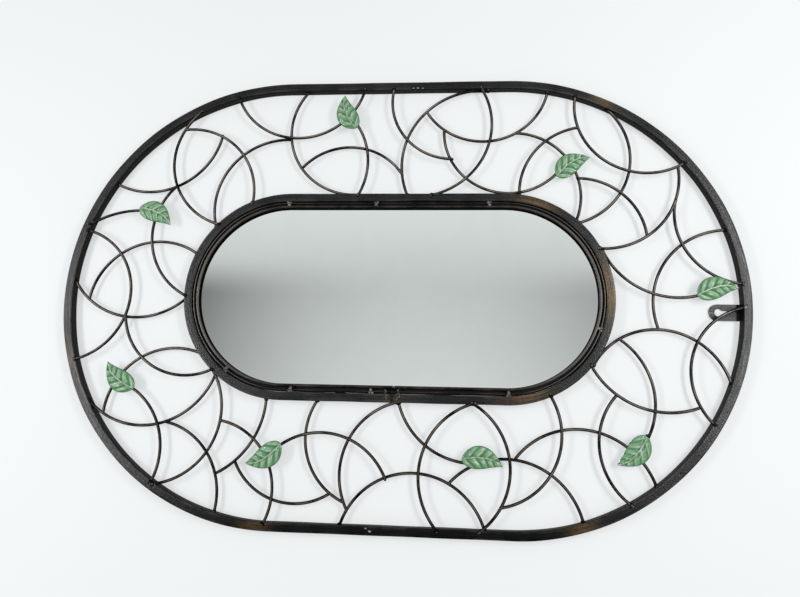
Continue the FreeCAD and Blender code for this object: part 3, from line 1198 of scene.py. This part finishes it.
    def crest_and_end_light(self, rows: np.ndarray, ahead: np.ndarray, middle: Stadium) -> dict[str, np.ndarray]:
        """Marks of a rod: its crest, and the painted highlight that grows round each end of the mirror.

        Args:
            rows: Points of its sections.
            ahead: How far each point of a section faces the viewer.
            middle: Middle line of the rod.

        Returns:
            The crest and tip marks.
        """
        front = np.broadcast_to(np.maximum(ahead, 0), rows.shape[:2])
        past_straight = np.abs(rows[..., 2] - middle.centre_z) - middle.half_straight
        # the tip mark here is a painted highlight round each end of the mirror, where the side lamps catch
        # rod and wire
        return {"front": front, "tip": self.end_highlight * eased(past_straight / middle.radius) * front**2}

    def section(self) -> tuple[np.ndarray, np.ndarray]:
        """Section of rod and wire: a superellipse, so that the front is nearly flat.

        Returns:
            Offsets across and towards the viewer, both from -1 to 1.
        """
        angle = TURN * (np.arange(self.sides) + 0.5) / self.sides
        round_section = np.stack([np.cos(angle), np.sin(angle)])
        aside, ahead = np.sign(round_section) * np.abs(round_section) ** (2 / self.squareness)
        return aside, ahead


@dataclass
class Lattice:
    """Bowed wires between the two rings, with the weld at each end.

    Attributes:
        finish: The wires' paint.
        nodes: The solids of the wires.
        coat: Thickness of the paint on a wire's flanks.
        sides: Sides of a wire's section.
        section_way: Way between sections.
        lap: How far a front wire runs on over a ring.
        lap_rise: How far its tip is bent up.
        bend_way: Way over which it bends.
        butt: How far a back wire's end sinks into the weld at a ring.
        tee: How far an end sinks into the weld at another wire.
        ring_reach: An end this near a ring's wall stops at that ring.
        weld_lap: How far a lapped end's weld lies past the ring's wall.
        weld_rise: How far it stands in front of the wire's middle.
        weld_front: Share of the wires' rubbing and painted crest highlight that a weld's crest gets.
        weld_glint: Share of a painted glint at its very top.
        weld_rest: A weld gets that painted glint where the sine of its own phase is over this.
        glints: Places where a weld gets a strong painted glint: x, z and reach.
        tip_bare_and_glint: Share of bare steel, brightened as a painted glint, at the tip of a lapped end.
        tip_way: Way over which that fades.
        end_flat: Depth of the flat at a round end's tip.
    """

    finish: RubbedWire
    nodes: tuple[str, ...]
    coat: float = 0.22
    sides: int = 12
    section_way: float = 3.0
    lap: float = 3.4
    lap_rise: float = 2.0
    bend_way: float = 9.0
    butt: float = 1.5
    tee: float = 0.8
    ring_reach: float = 3.5
    weld_lap: float = 0.9
    weld_rise: float = 1.5
    weld_front: float = 0.7
    weld_glint: float = 0.35
    weld_rest: float = 0.2
    glints: tuple[Triple, ...] = ()
    tip_bare_and_glint: float = 0.55
    tip_way: float = 2.2
    end_flat: float = 0.15

    def build(self) -> None:
        """Makes each wire as a piece of its own, then all the welds as one."""
        material = self.finish.material()
        arcs = {node: Arc.through(node_points(node)) for node in self.nodes}
        layers = [arc.depth for arc in arcs.values()]
        between = (min(layers) + max(layers)) / 2
        lumps = []
        for node, arc in arcs.items():
            ends = [self.end_kind(arc, way, arc.depth < between) for way in (0.0, arc.length)]
            new_piece(node + "_bow", self.tube(arc, ends), material, Slot.WIRE_STEEL, node)
            lumps += self.welds(arc, ends, len(lumps))
        surface = joined(lumps)
        bright = self.weld_glint * (np.sin(GOLDEN_ANGLE * np.arange(len(lumps))) > self.weld_rest)
        # the high power keeps the painted glint on the very top of a weld
        surface.marks["tip"] = np.repeat(bright, len(lumps[0].points)) * surface.marks["front"] ** 10
        for x, z, size in self.glints:
            away = np.hypot(surface.points[:, 0] - x, surface.points[:, 2] - z)
            glint = np.exp(-((away / size) ** 4)) * surface.marks["front"] ** 2
            surface.marks["tip"] = np.maximum(surface.marks["tip"], glint)
        surface.marks["front"] *= self.weld_front
        new_piece("lattice_welds", surface, material, Slot.WIRE_STEEL)

    def end_kind(self, arc: Arc, way: float, front: bool) -> WireEnd:
        """Tells what a wire's end stops at from its distance to the two rings.

        Args:
            arc: The wire's middle line.
            way: Way of the end along it.
            front: True if the wire is in the front layer.

        Returns:
            The kind of end.
        """
        place = arc.carried(np.array([way]), np.zeros(1), np.array([arc.depth]))
        outer, outer_wall = ring_walls("outer_ring")
        inner, _ = ring_walls("inner_ring")
        outer_gap = outer_wall - outer.reach(place)[0]
        inner_gap = inner.reach(place)[0] - inner.radius
        if min(outer_gap, inner_gap) > self.ring_reach:
            return WireEnd.TEED
        return WireEnd.LAPPED if front else WireEnd.BUTTED

    def tube(self, arc: Arc, ends: list[WireEnd]) -> Surface:
        """Carries a circle along the bow, with round ends and lapped tips bent forwards.

        The radius follows a quarter circle at each end, and a lapped tip rises by a smooth step and
        flattens to two thirds.

        Args:
            arc: The wire's middle line.
            ends: The kinds of its two ends.

        Returns:
            The wire's skin, marked with its front and its bare tips, which carry a painted glint.
        """
        past = {WireEnd.LAPPED: self.lap, WireEnd.BUTTED: self.butt, WireEnd.TEED: self.tee}
        start, stop = -past[ends[0]], arc.length + past[ends[1]]
        end_sections, crowding = 8, 0.8
        share = np.linspace(0, 1, int((stop - start) / self.section_way) + end_sections)
        share = share - crowding * np.sin(TURN * share) / TURN
        way = (start + share * (stop - start))[:, None]
        to_end = np.stack([way - start, stop - way])
        lapped = np.array([end is WireEnd.LAPPED for end in ends], float)[:, None, None]
        near = eased(1 - to_end / self.bend_way) * lapped
        rise = self.lap_rise * near.max(axis=0)
        full = rounded(to_end.min(axis=0) + self.end_flat, arc.half)
        flat = 1 - near.max(axis=0) / 3
        angle = TURN * np.arange(self.sides) / self.sides
        aside = (arc.half + self.coat) * full * np.cos(angle)
        rows = arc.carried(way, aside, arc.depth - rise - arc.half * full * flat * np.sin(angle))
        front = np.maximum(np.sin(angle), 0) * np.ones_like(way)
        # bare steel at a lapped tip, brightened as a painted glint
        bare = np.exp(-((to_end / self.tip_way) ** 2)) * lapped
        return skin(rows, False, {"front": front, "tip": self.tip_bare_and_glint * bare.max(axis=0) * front})

    def welds(self, arc: Arc, ends: list[WireEnd], count: int) -> list[Surface]:
        """Lumps of weld at a wire's two ends.

        Args:
            arc: The wire's middle line.
            ends: The kinds of its ends.
            count: Number of lumps made so far.

        Returns:
            Two lumps.
        """
        lumps = []
        for k, (way, past, end) in enumerate(((0.0, -1.0, ends[0]), (arc.length, 1.0, ends[1]))):
            lapped = end is WireEnd.LAPPED
            place = way + past * self.weld_lap * lapped
            depth = np.array(arc.depth - self.weld_rise * lapped)
            middle = arc.carried(np.array(place), np.array(0.0), depth)
            lumps.append(bead(middle, WELD_RADII[end], count + k))
        return lumps


@dataclass
class LeafSet:
    """Pressed leaves laid on the wires, all from one die.

    Attributes:
        finish: Their enamel.
        stub_finish: Finish of the cut stub that one leaf keeps at its base.
        stub_leaf: Number of that leaf.
        stub_radii: Half sizes of the stub.
        headings: Where each tip points, in degrees clockwise from the top seen from the front. The leaves
            run clockwise round the mirror from its lower end.
        bow: How far the midrib's middle stands out to the left of its ends.
        hook: How much further the tip turns to its right.
        sheet: Thickness of the steel at the middle.
        rim: Thickness at the edge.
        vein_pitch: Way between side veins along the midrib.
        vein_slant: How far a side vein runs on for each mm outwards.
        vein_width: Width of a vein.
        crown_share: Height of the plain dome as a share of the solid's.
        puff: Height of the pillows between the veins.
        groove: Depth of the valley along the midrib.
        groove_width: Its half width.
        leaf_reach: More than a leaf's length, and less than the way to the next.
        along: Sections along the leaf.
        across: Points across its face.
    """

    finish: LeafEnamel
    stub_finish: RubbedWire
    stub_leaf: int = 5
    stub_radii: Triple = (2.8, 1.6, 2.8)
    headings: tuple[float, ...] = (23, 246, 324, 344, 132, 4, 145, 216)
    bow: float = 4.0
    hook: float = 5.0
    sheet: float = 1.0
    rim: float = 0.7
    vein_pitch: float = 10.5
    vein_slant: float = 0.85
    vein_width: float = 1.0
    crown_share: float = 0.62
    puff: float = 1.9
    groove: float = 1.2
    groove_width: float = 2.4
    leaf_reach: float = 60.0
    along: int = 80
    across: int = 45

    def build(self) -> None:
        """Finds each leaf's seat on its solid and presses a leaf there."""
        material = self.finish.material()
        mirror = Stadium.around(node_points("outer_ring"))
        solids = clusters(node_points("leaves"), self.leaf_reach)
        middles = [middle_of(solid) for solid in solids]
        clock = [math.atan2(mirror.centre_x - m[0], mirror.centre_z - m[2]) % TURN for m in middles]
        for number, (which, heading) in enumerate(zip(np.argsort(clock), self.headings), start=1):
            surface = self.blade(solids[which], math.radians(heading))
            new_piece(f"leaf_{number}", surface, material, Slot.ENAMEL, "leaves")
            if number == self.stub_leaf:
                base = surface.points[: 2 * self.across].mean(axis=0)
                stub = bead(base, self.stub_radii, number)
                stub.marks["tip"] = np.zeros(len(stub.points))
                new_piece(f"leaf_{number}_stub", stub, self.stub_finish.material(), Slot.WIRE_STEEL)

    def blade(self, solid: np.ndarray, heading: float) -> Surface:
        """Leaf as a function of the way t along its midrib and the share q across it.

        The half width is a power of t times a power of 1 - t, scaled to the solid. The midrib is a
        parabola that bows to the left, and its tip turns right with the square of the way past six
        tenths. The height is a dome, plus a pillow between each two side veins that falls steeply to
        both, less a valley along the midrib. The back is the same surface, one sheet lower.

        Args:
            solid: Points of the solid leaf.
            heading: Where the tip points, in radians clockwise from the top.

        Returns:
            The leaf's skin with its vein, hollow, crest and rim marks: the hollow mark is painted shade and
            the crest mark a painted highlight.
        """
        forward = np.array([math.sin(heading), math.cos(heading)])
        right = np.array([forward[1], -forward[0]])
        flat = solid[:, [0, 2]]
        spans = np.array([flat @ forward, flat @ right])
        length, width = np.ptp(spans, axis=1)
        seat = (spans.min(axis=1) + spans.max(axis=1)) / 2
        back = solid[:, 1].max()
        height = np.ptp(solid[:, 1])
        trim = 0.06
        t = (1 - np.cos(np.linspace(trim, math.pi - trim, self.along)))[:, None] / 2
        q = np.sin(np.linspace(-math.pi / 2, math.pi / 2, self.across))[None, :]
        rise, fall = 0.65, 1.0
        widest = rise / (rise + fall)
        half = width / 2 * (t / widest) ** rise * ((1 - t) / (1 - widest)) ** fall
        out = half * q
        stem = (t - 0.5) * length
        bow_level, hook_from = 0.65, 0.6
        hooked = np.clip((t - hook_from) / (1 - hook_from), 0, 1) ** 2
        midway = self.bow * ((2 * t - 1) ** 2 - bow_level) + self.hook * hooked
        inside = (1 - q**4) * eased(t / 0.12) * eased((1 - t) / 0.1)
        first_vein, stagger, sway = 0.55, 0.22, 0.1
        phase = (t * length - self.vein_slant * np.abs(out)) / self.vein_pitch - first_vein
        phase = phase + stagger * np.sign(q) + sway * np.sin(9 * t + 2 * q)
        beside = np.abs(phase - np.round(phase))
        from_vein = beside * self.vein_pitch
        side_vein = np.exp(-((from_vein / self.vein_width) ** 2)) * inside * (np.abs(out) > self.vein_width)
        midrib = np.exp(-((out / (0.75 * self.vein_width)) ** 2)) * eased(t / 0.1) * np.ones_like(q)
        valley = np.exp(-((out / self.groove_width) ** 2)) * inside
        pillow = (1 - (1 - 2 * beside) ** 2) * inside * (1 - valley)
        dome = (height * self.crown_share - self.rim) * (1 - q**2) ** 0.75 * (4 * t * (1 - t)) ** 0.45
        top = self.rim + dome + self.puff * pillow - self.groove * valley
        bottom = np.maximum(top - self.sheet - (self.rim - self.sheet) * q**2, 0)
        plane = seat[0] * forward + seat[1] * right
        spread = stem[..., None] * forward + (midway + out)[..., None] * right + plane
        lift = np.concatenate([top, bottom[:, ::-1]], axis=1)
        spread = np.concatenate([spread, spread[:, ::-1]], axis=1)
        rows = np.stack([spread[..., 0], back - lift, spread[..., 1]], -1)
        vein = np.maximum(side_vein, midrib)
        past_vein = (phase - np.floor(phase)) * np.ones_like(q)
        # painted light: shade painted in a band just past each vein and along the midrib's valley, a
        # highlight painted further along each pillow
        shade_band_at, highlight_at, spread_over = 0.3, 0.72, 0.18
        highlight_share, valley_share, shade_band_share = 0.6, 0.35, 0.45
        painted_shade_band = np.exp(-(((past_vein - shade_band_at) / spread_over) ** 2)) * inside
        crest = highlight_share * np.exp(-(((past_vein - highlight_at) / spread_over) ** 2)) * inside * (1 - valley)
        hollow = valley_share * valley + shade_band_share * painted_shade_band
        rim = np.abs(q) ** 24 * np.ones_like(t)
        # marks of the face, and the even value that each has on the back
        both = {"vein": (vein, 0.0), "hollow": (hollow, 0.4), "crest": (crest, 0.0), "rim": (rim, 0.7)}
        marks = {
            name: np.concatenate([face, np.full_like(face, back_value)], axis=1)
            for name, (face, back_value) in both.items()
        }
        return skin(rows, False, marks)


@dataclass
class BackFittings:
    """Pieces that keep their solid's own shape: glass, board, clips and hanger."""

    glass: SilveredGlass
    board: Hardboard
    plate: BlackPaint

    def build(self) -> None:
        """Dresses the solids by assigning to their material slots."""
        plate = self.plate.material()
        dressing = {
            "mirror_glass": self.glass.material(),
            "backing_board": self.board.material(),
            "backing_clips": plate,
            "hanger_tab": plate,
        }
        for node, material in dressing.items():
            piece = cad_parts[node]
            for slot in piece.material_slots:
                slot.material = material
            log.info("%s: solid dressed with %s", node, material.name)


# Picture


@dataclass
class Studio:
    """White sheet, two soft boxes before it and one behind, a surround and the camera of the picture.

    Attributes:
        sheet_gap: Space between the mirror's back and the sheet.
        sheet_size: Width of the sheet.
        sheet_colour: The sheet's colour.
        sheet_glow: Light that comes through the sheet.
        glow_share: Share of that light in what the camera sees.
        box_size: Sizes of a soft box along and across the mirror.
        box_front: Its distance in front of the sheet.
        lower_box: X and Z of the soft box at the mirror's foot.
        upper_box: X and Z of the soft box at the mirror's head.
        back_box: X and Z of the soft box behind the sheet.
        box_power: Power of a soft box in watts.
        back_power: Power of the box behind the sheet as a share of that.
        back_distance: Its distance as a share of the others'.
        ambient: Brightness of the surround as a light.
        seen_level: Its brightness to the camera.
        tint: Its colour.
        horizon: Least depth of a ray, which keeps its slopes small.
        room_level: Brightness of the mirrored room straight ahead.
        room_slope: How it grows with the slope to the right.
        room_dimming: How it changes with the square of the slope to the top.
        room_offset: Shift of that square's middle.
        room_floor: Its least brightness.
        pale_span: Slopes to the right between which the room turns pale.
        bright_span: Slopes between which the pale part grows brighter.
        bright_levels: Its brightness at both.
        dark_span: Slopes between which the room falls dark.
        far_span: Slopes between which its far left dims.
        far_level: Share of brightness that is left there.
        eye: Place of the camera.
        tilt: Turns of the camera about its three axes, in degrees.
        lens: Focal length.
        half_pixel: Shift that sets pixel centres where the picture was measured.
    """

    sheet_gap: float = 0.5
    sheet_size: float = 8000.0
    sheet_colour: str = "#F2F4F5"
    sheet_glow: str = "#F3F5F6"
    glow_share: float = 0.54
    box_size: Pair = (235.0, 740.0)
    box_front: float = 950.0
    lower_box: Pair = (71.0, -1500.0)
    upper_box: Pair = (-137.0, 520.0)
    back_box: Pair = (-17.0, -418.0)
    box_power: float = 7.7
    back_power: float = 3.4
    back_distance: float = 2.0
    ambient: float = 0.51
    seen_level: float = 0.97
    tint: str = "#FBFEFF"
    horizon: float = 0.05
    room_level: float = 0.815
    room_slope: float = 0.72
    room_dimming: float = -2.9
    room_offset: float = 0.03
    room_floor: float = 0.16
    pale_span: Pair = (-0.17, -0.25)
    bright_span: Pair = (-0.24, -0.32)
    bright_levels: Pair = (0.75, 0.87)
    dark_span: Pair = (-0.01, 0.12)
    far_span: Pair = (-0.335, -0.42)
    far_level: float = 0.3
    eye: Triple = (120.49, -793.68, -351.92)
    tilt: Triple = (-9.606, 4.206, 0.608)
    lens: float = 27.0
    half_pixel: float = 0.5 / 800

    def build(self) -> None:
        """Sets up the sheet, the lamps, the surround, the camera and the view transform."""
        outline = Stadium.around(node_points("outer_ring"))
        self.sheet(outline)
        for name, seat, distance, power in (
            ("lower_box", self.lower_box, -1.0, 1.0),
            ("upper_box", self.upper_box, -1.0, 1.0),
            ("back_box", self.back_box, self.back_distance, self.back_power),
        ):
            self.soft_box(name, outline, seat, distance * self.box_front, power * self.box_power)
        self.surround()
        self.camera()
        bpy.context.scene.view_settings.view_transform = "Standard"

    def sheet(self, outline: Stadium) -> None:
        """Lays the sheet behind the mirror, white from the front and clear from behind.

        Args:
            outline: Outline of the mirror.
        """
        half = self.sheet_size / 2
        corners = np.array([(-half, -half), (half, -half), (half, half), (-half, half)])
        points = np.stack([corners[:, 0], np.full(4, self.sheet_gap), corners[:, 1]], -1)
        points += (outline.centre_x, 0, outline.centre_z)
        mesh = bpy.data.meshes.new("white_sheet")
        mesh.from_pydata((points * MM).tolist(), [], [(0, 1, 2, 3)])
        material, add = new_material("White paper sheet")
        behind = add("ShaderNodeNewGeometry", out="Backfacing")
        paths = add("ShaderNodeLightPath").node.outputs
        clear = add(MATH, (behind, paths["Is Shadow Ray"]), operation="MAXIMUM")
        lit = add("ShaderNodeBsdfDiffuse", {"Color": linear(self.sheet_colour)})
        glow = add("ShaderNodeEmission", {"Color": linear(self.sheet_glow)})
        share = add(MATH, (paths["Is Camera Ray"], self.glow_share), operation="MULTIPLY")
        paper = add("ShaderNodeMixShader", (share, lit, glow))
        gap = add("ShaderNodeBsdfTransparent")
        surface = add("ShaderNodeMixShader", (clear, paper, gap))
        add("ShaderNodeOutputMaterial", {"Surface": surface})
        mesh.materials.append(material)
        sheet = bpy.data.objects.new("white_sheet", mesh)
        bpy.context.scene.collection.objects.link(sheet)

    def soft_box(self, name: str, outline: Stadium, seat: Pair, depth: float, power: float) -> None:
        """Hangs an oblong lamp that looks at the mirror's middle.

        Args:
            name: Name of the lamp.
            outline: Outline of the mirror.
            seat: Its X and Z.
            depth: Its Y.
            power: Its power in watts.
        """
        lamp = bpy.data.lights.new(name, "AREA")
        lamp.shape = "RECTANGLE"
        lamp.size, lamp.size_y = (size * MM for size in self.box_size)
        lamp.energy = power
        place = np.array([seat[0], depth, seat[1]])
        aim = np.array([outline.centre_x, 0, outline.centre_z]) - place
        box = bpy.data.objects.new(name, lamp)
        forward = aim / np.linalg.norm(aim)
        right = np.cross(forward, (1.0, 0.0, 0.0))
        right = right / np.linalg.norm(right)
        up = np.cross(right, forward)
        box.matrix_world = self.placed(place, right, up, -forward)
        bpy.context.scene.collection.objects.link(box)

    @staticmethod
    def placed(place: np.ndarray, right: np.ndarray, up: np.ndarray, back: np.ndarray) -> Matrix:
        """Matrix of a camera or lamp.

        Args:
            place: Its place in mm.
            right: Its axis to the right.
            up: Its axis upwards.
            back: Its axis against the view.

        Returns:
            The matrix in metres.
        """
        turn = np.eye(4)
        turn[:3, :3] = np.stack([right, up, back], -1)
        turn[:3, 3] = np.asarray(place) * MM
        return Matrix(turn.tolist())

    def camera(self) -> None:
        """Sets the camera as it stood: the mirror lay on its side, its top to the picture's right."""
        a, b, c = np.radians(self.tilt)
        about_right = np.array([[1, 0, 0], [0, np.cos(a), -np.sin(a)], [0, np.sin(a), np.cos(a)]])
        about_down = np.array([[np.cos(b), 0, np.sin(b)], [0, 1, 0], [-np.sin(b), 0, np.cos(b)]])
        about_view = np.array([[np.cos(c), -np.sin(c), 0], [np.sin(c), np.cos(c), 0], [0, 0, 1]])
        right, down, forward = (about_view @ about_down @ about_right)[:, [1, 2, 0]]
        lens = bpy.data.cameras.new("picture_camera")
        lens.sensor_width = 36.0
        lens.lens = self.lens
        lens.clip_end = 100.0
        lens.shift_x = -self.half_pixel
        lens.shift_y = self.half_pixel
        camera = bpy.data.objects.new("picture_camera", lens)
        camera.matrix_world = self.placed(np.array(self.eye), right, -down, -forward)
        bpy.context.scene.collection.objects.link(camera)
        bpy.context.scene.camera = camera

    def surround(self) -> None:
        """Lights the room evenly, shows white to the camera and a shaded room to what shines.

        With s and t the slopes of a ray to the mirror's right and top, the mirrored room is pale on its
        left. Elsewhere it is a straight line in s less the square of t, so it dims towards both ends. It
        falls to dark on the right, where the room behind the camera has no light.
        """
        world = bpy.data.worlds.new("Pale tent")
        world.use_nodes = True
        world.node_tree.nodes.clear()
        add = partial(add_node, world.node_tree)
        ray = add("ShaderNodeTexCoord", out="Generated")
        parts = add("ShaderNodeSeparateXYZ", {0: ray}).node.outputs
        level = add(MATH, (parts["Y"],), operation="ABSOLUTE")
        depth = add(MATH, (level, self.horizon), operation="MAXIMUM")
        s, t = (add(MATH, (parts[axis], depth), operation="DIVIDE") for axis in "XZ")
        off = add(MATH, (t, self.room_offset), operation="ADD")
        square = add(MATH, (off, off), operation="MULTIPLY")
        slope = add(MATH, (s, self.room_slope, self.room_level), operation="MULTIPLY_ADD")
        dimmed = add(MATH, (square, self.room_dimming, slope), operation="MULTIPLY_ADD")
        lower = add(MATH, (dimmed, self.room_floor), operation="MAXIMUM")
        pale, dark, far = (
            add(RANGE, (s, *span), interpolation_type="SMOOTHSTEP")
            for span in (
                (*self.pale_span, 0.0, 1.0),
                (*self.dark_span, 1.0, 0.0),
                (*self.far_span, 1.0, self.far_level),
            )
        )
        bright = add(RANGE, (s, *self.bright_span, *self.bright_levels))
        room = add(MIX, {0: pale, 2: lower, 3: bright}, data_type="FLOAT")
        near = add(MATH, (room, far), operation="MULTIPLY")
        shining = add(MATH, (near, dark), operation="MULTIPLY")
        paths = add("ShaderNodeLightPath").node.outputs
        rays = (paths["Is Glossy Ray"], paths["Is Transmission Ray"])
        glossy = add(MATH, rays, operation="MAXIMUM")
        lit = add(MIX, {0: glossy, 2: self.ambient, 3: shining}, data_type="FLOAT")
        seen = {0: paths["Is Camera Ray"], 2: lit, 3: self.seen_level}
        strength = add(MIX, seen, data_type="FLOAT")
        light = add("ShaderNodeBackground", {"Color": linear(self.tint), "Strength": strength})
        add("ShaderNodeOutputWorld", {"Surface": light})
        bpy.context.scene.world = world


def main() -> None:
    """Builds and dresses the mirror piece by piece, then sets up the picture."""
    logging.basicConfig(level=logging.INFO, format="%(message)s")
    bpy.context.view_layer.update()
    paint = BlackPaint()
    rod_paint = RubbedWire(
        name="Black paint on round rod",
        ground="#060606",
        brown="#0E0D0C",
        # paler crest of the rod: partly rubbed, partly a painted highlight
        crest="#453F38",
        roughness=0.3,
        ior=1.45,
    )
    wires = tuple(sorted(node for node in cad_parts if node.startswith("wire_")))
    outer_rubs = (
        (-271.0, 279.0, 17.0, 0.55),
        (287.0, 237.0, 20.0, 0.45),
        (297.0, -172.0, 18.0, 0.4),
        (93.0, -436.0, 26.0, 0.3),
    )
    inner_rubs = (
        (-10.0, 280.0, 34.0, 1.0),
        (132.0, 173.0, 28.0, 0.55),
        (-128.0, 188.0, 26.0, 0.6),
        (135.0, 0.0, 14.0, 0.3),
    )
    joint_burns = ((132.5, 0.0, 3.4, 1.0), (138.0, 0.0, 3.4, 1.0))
    specks = (
        (-295.2, 20.0, 1.2),
        (-295.5, 26.0, 1.6),
        (-295.0, 33.0, 1.3),
        (299.5, -23.7, 1.8),
        (296.2, -28.8, 1.3),
    )
    spatter = RubbedWire(name="Weld spatter")
    BarRing("outer_ring", paint, rubs=outer_rubs, specks=specks, spatter=spatter).build()
    BarRing("inner_ring", paint, waves=15, rubs=inner_rubs, burns=joint_burns).build()
    felt = BlackPaint(name="Black felt strip, glued", grain=Grain.PLATE, roughness=0.8, lifted="#101010")
    GlassRetainer(rod_paint, RubbedWire(name="Weld bead, wire brushed"), felt).build()
    Lattice(RubbedWire(), wires, glints=((-5.0, 30.0, 4.0),)).build()
    LeafSet(LeafEnamel(), RubbedWire(name="Black paint on a cut stub")).build()
    plate = BlackPaint(name="Black paint brushed on plate", grain=Grain.PLATE, roughness=0.44)
    BackFittings(SilveredGlass(), Hardboard(), plate).build()
    Studio().build()


if __name__ == "__main__":
    main()
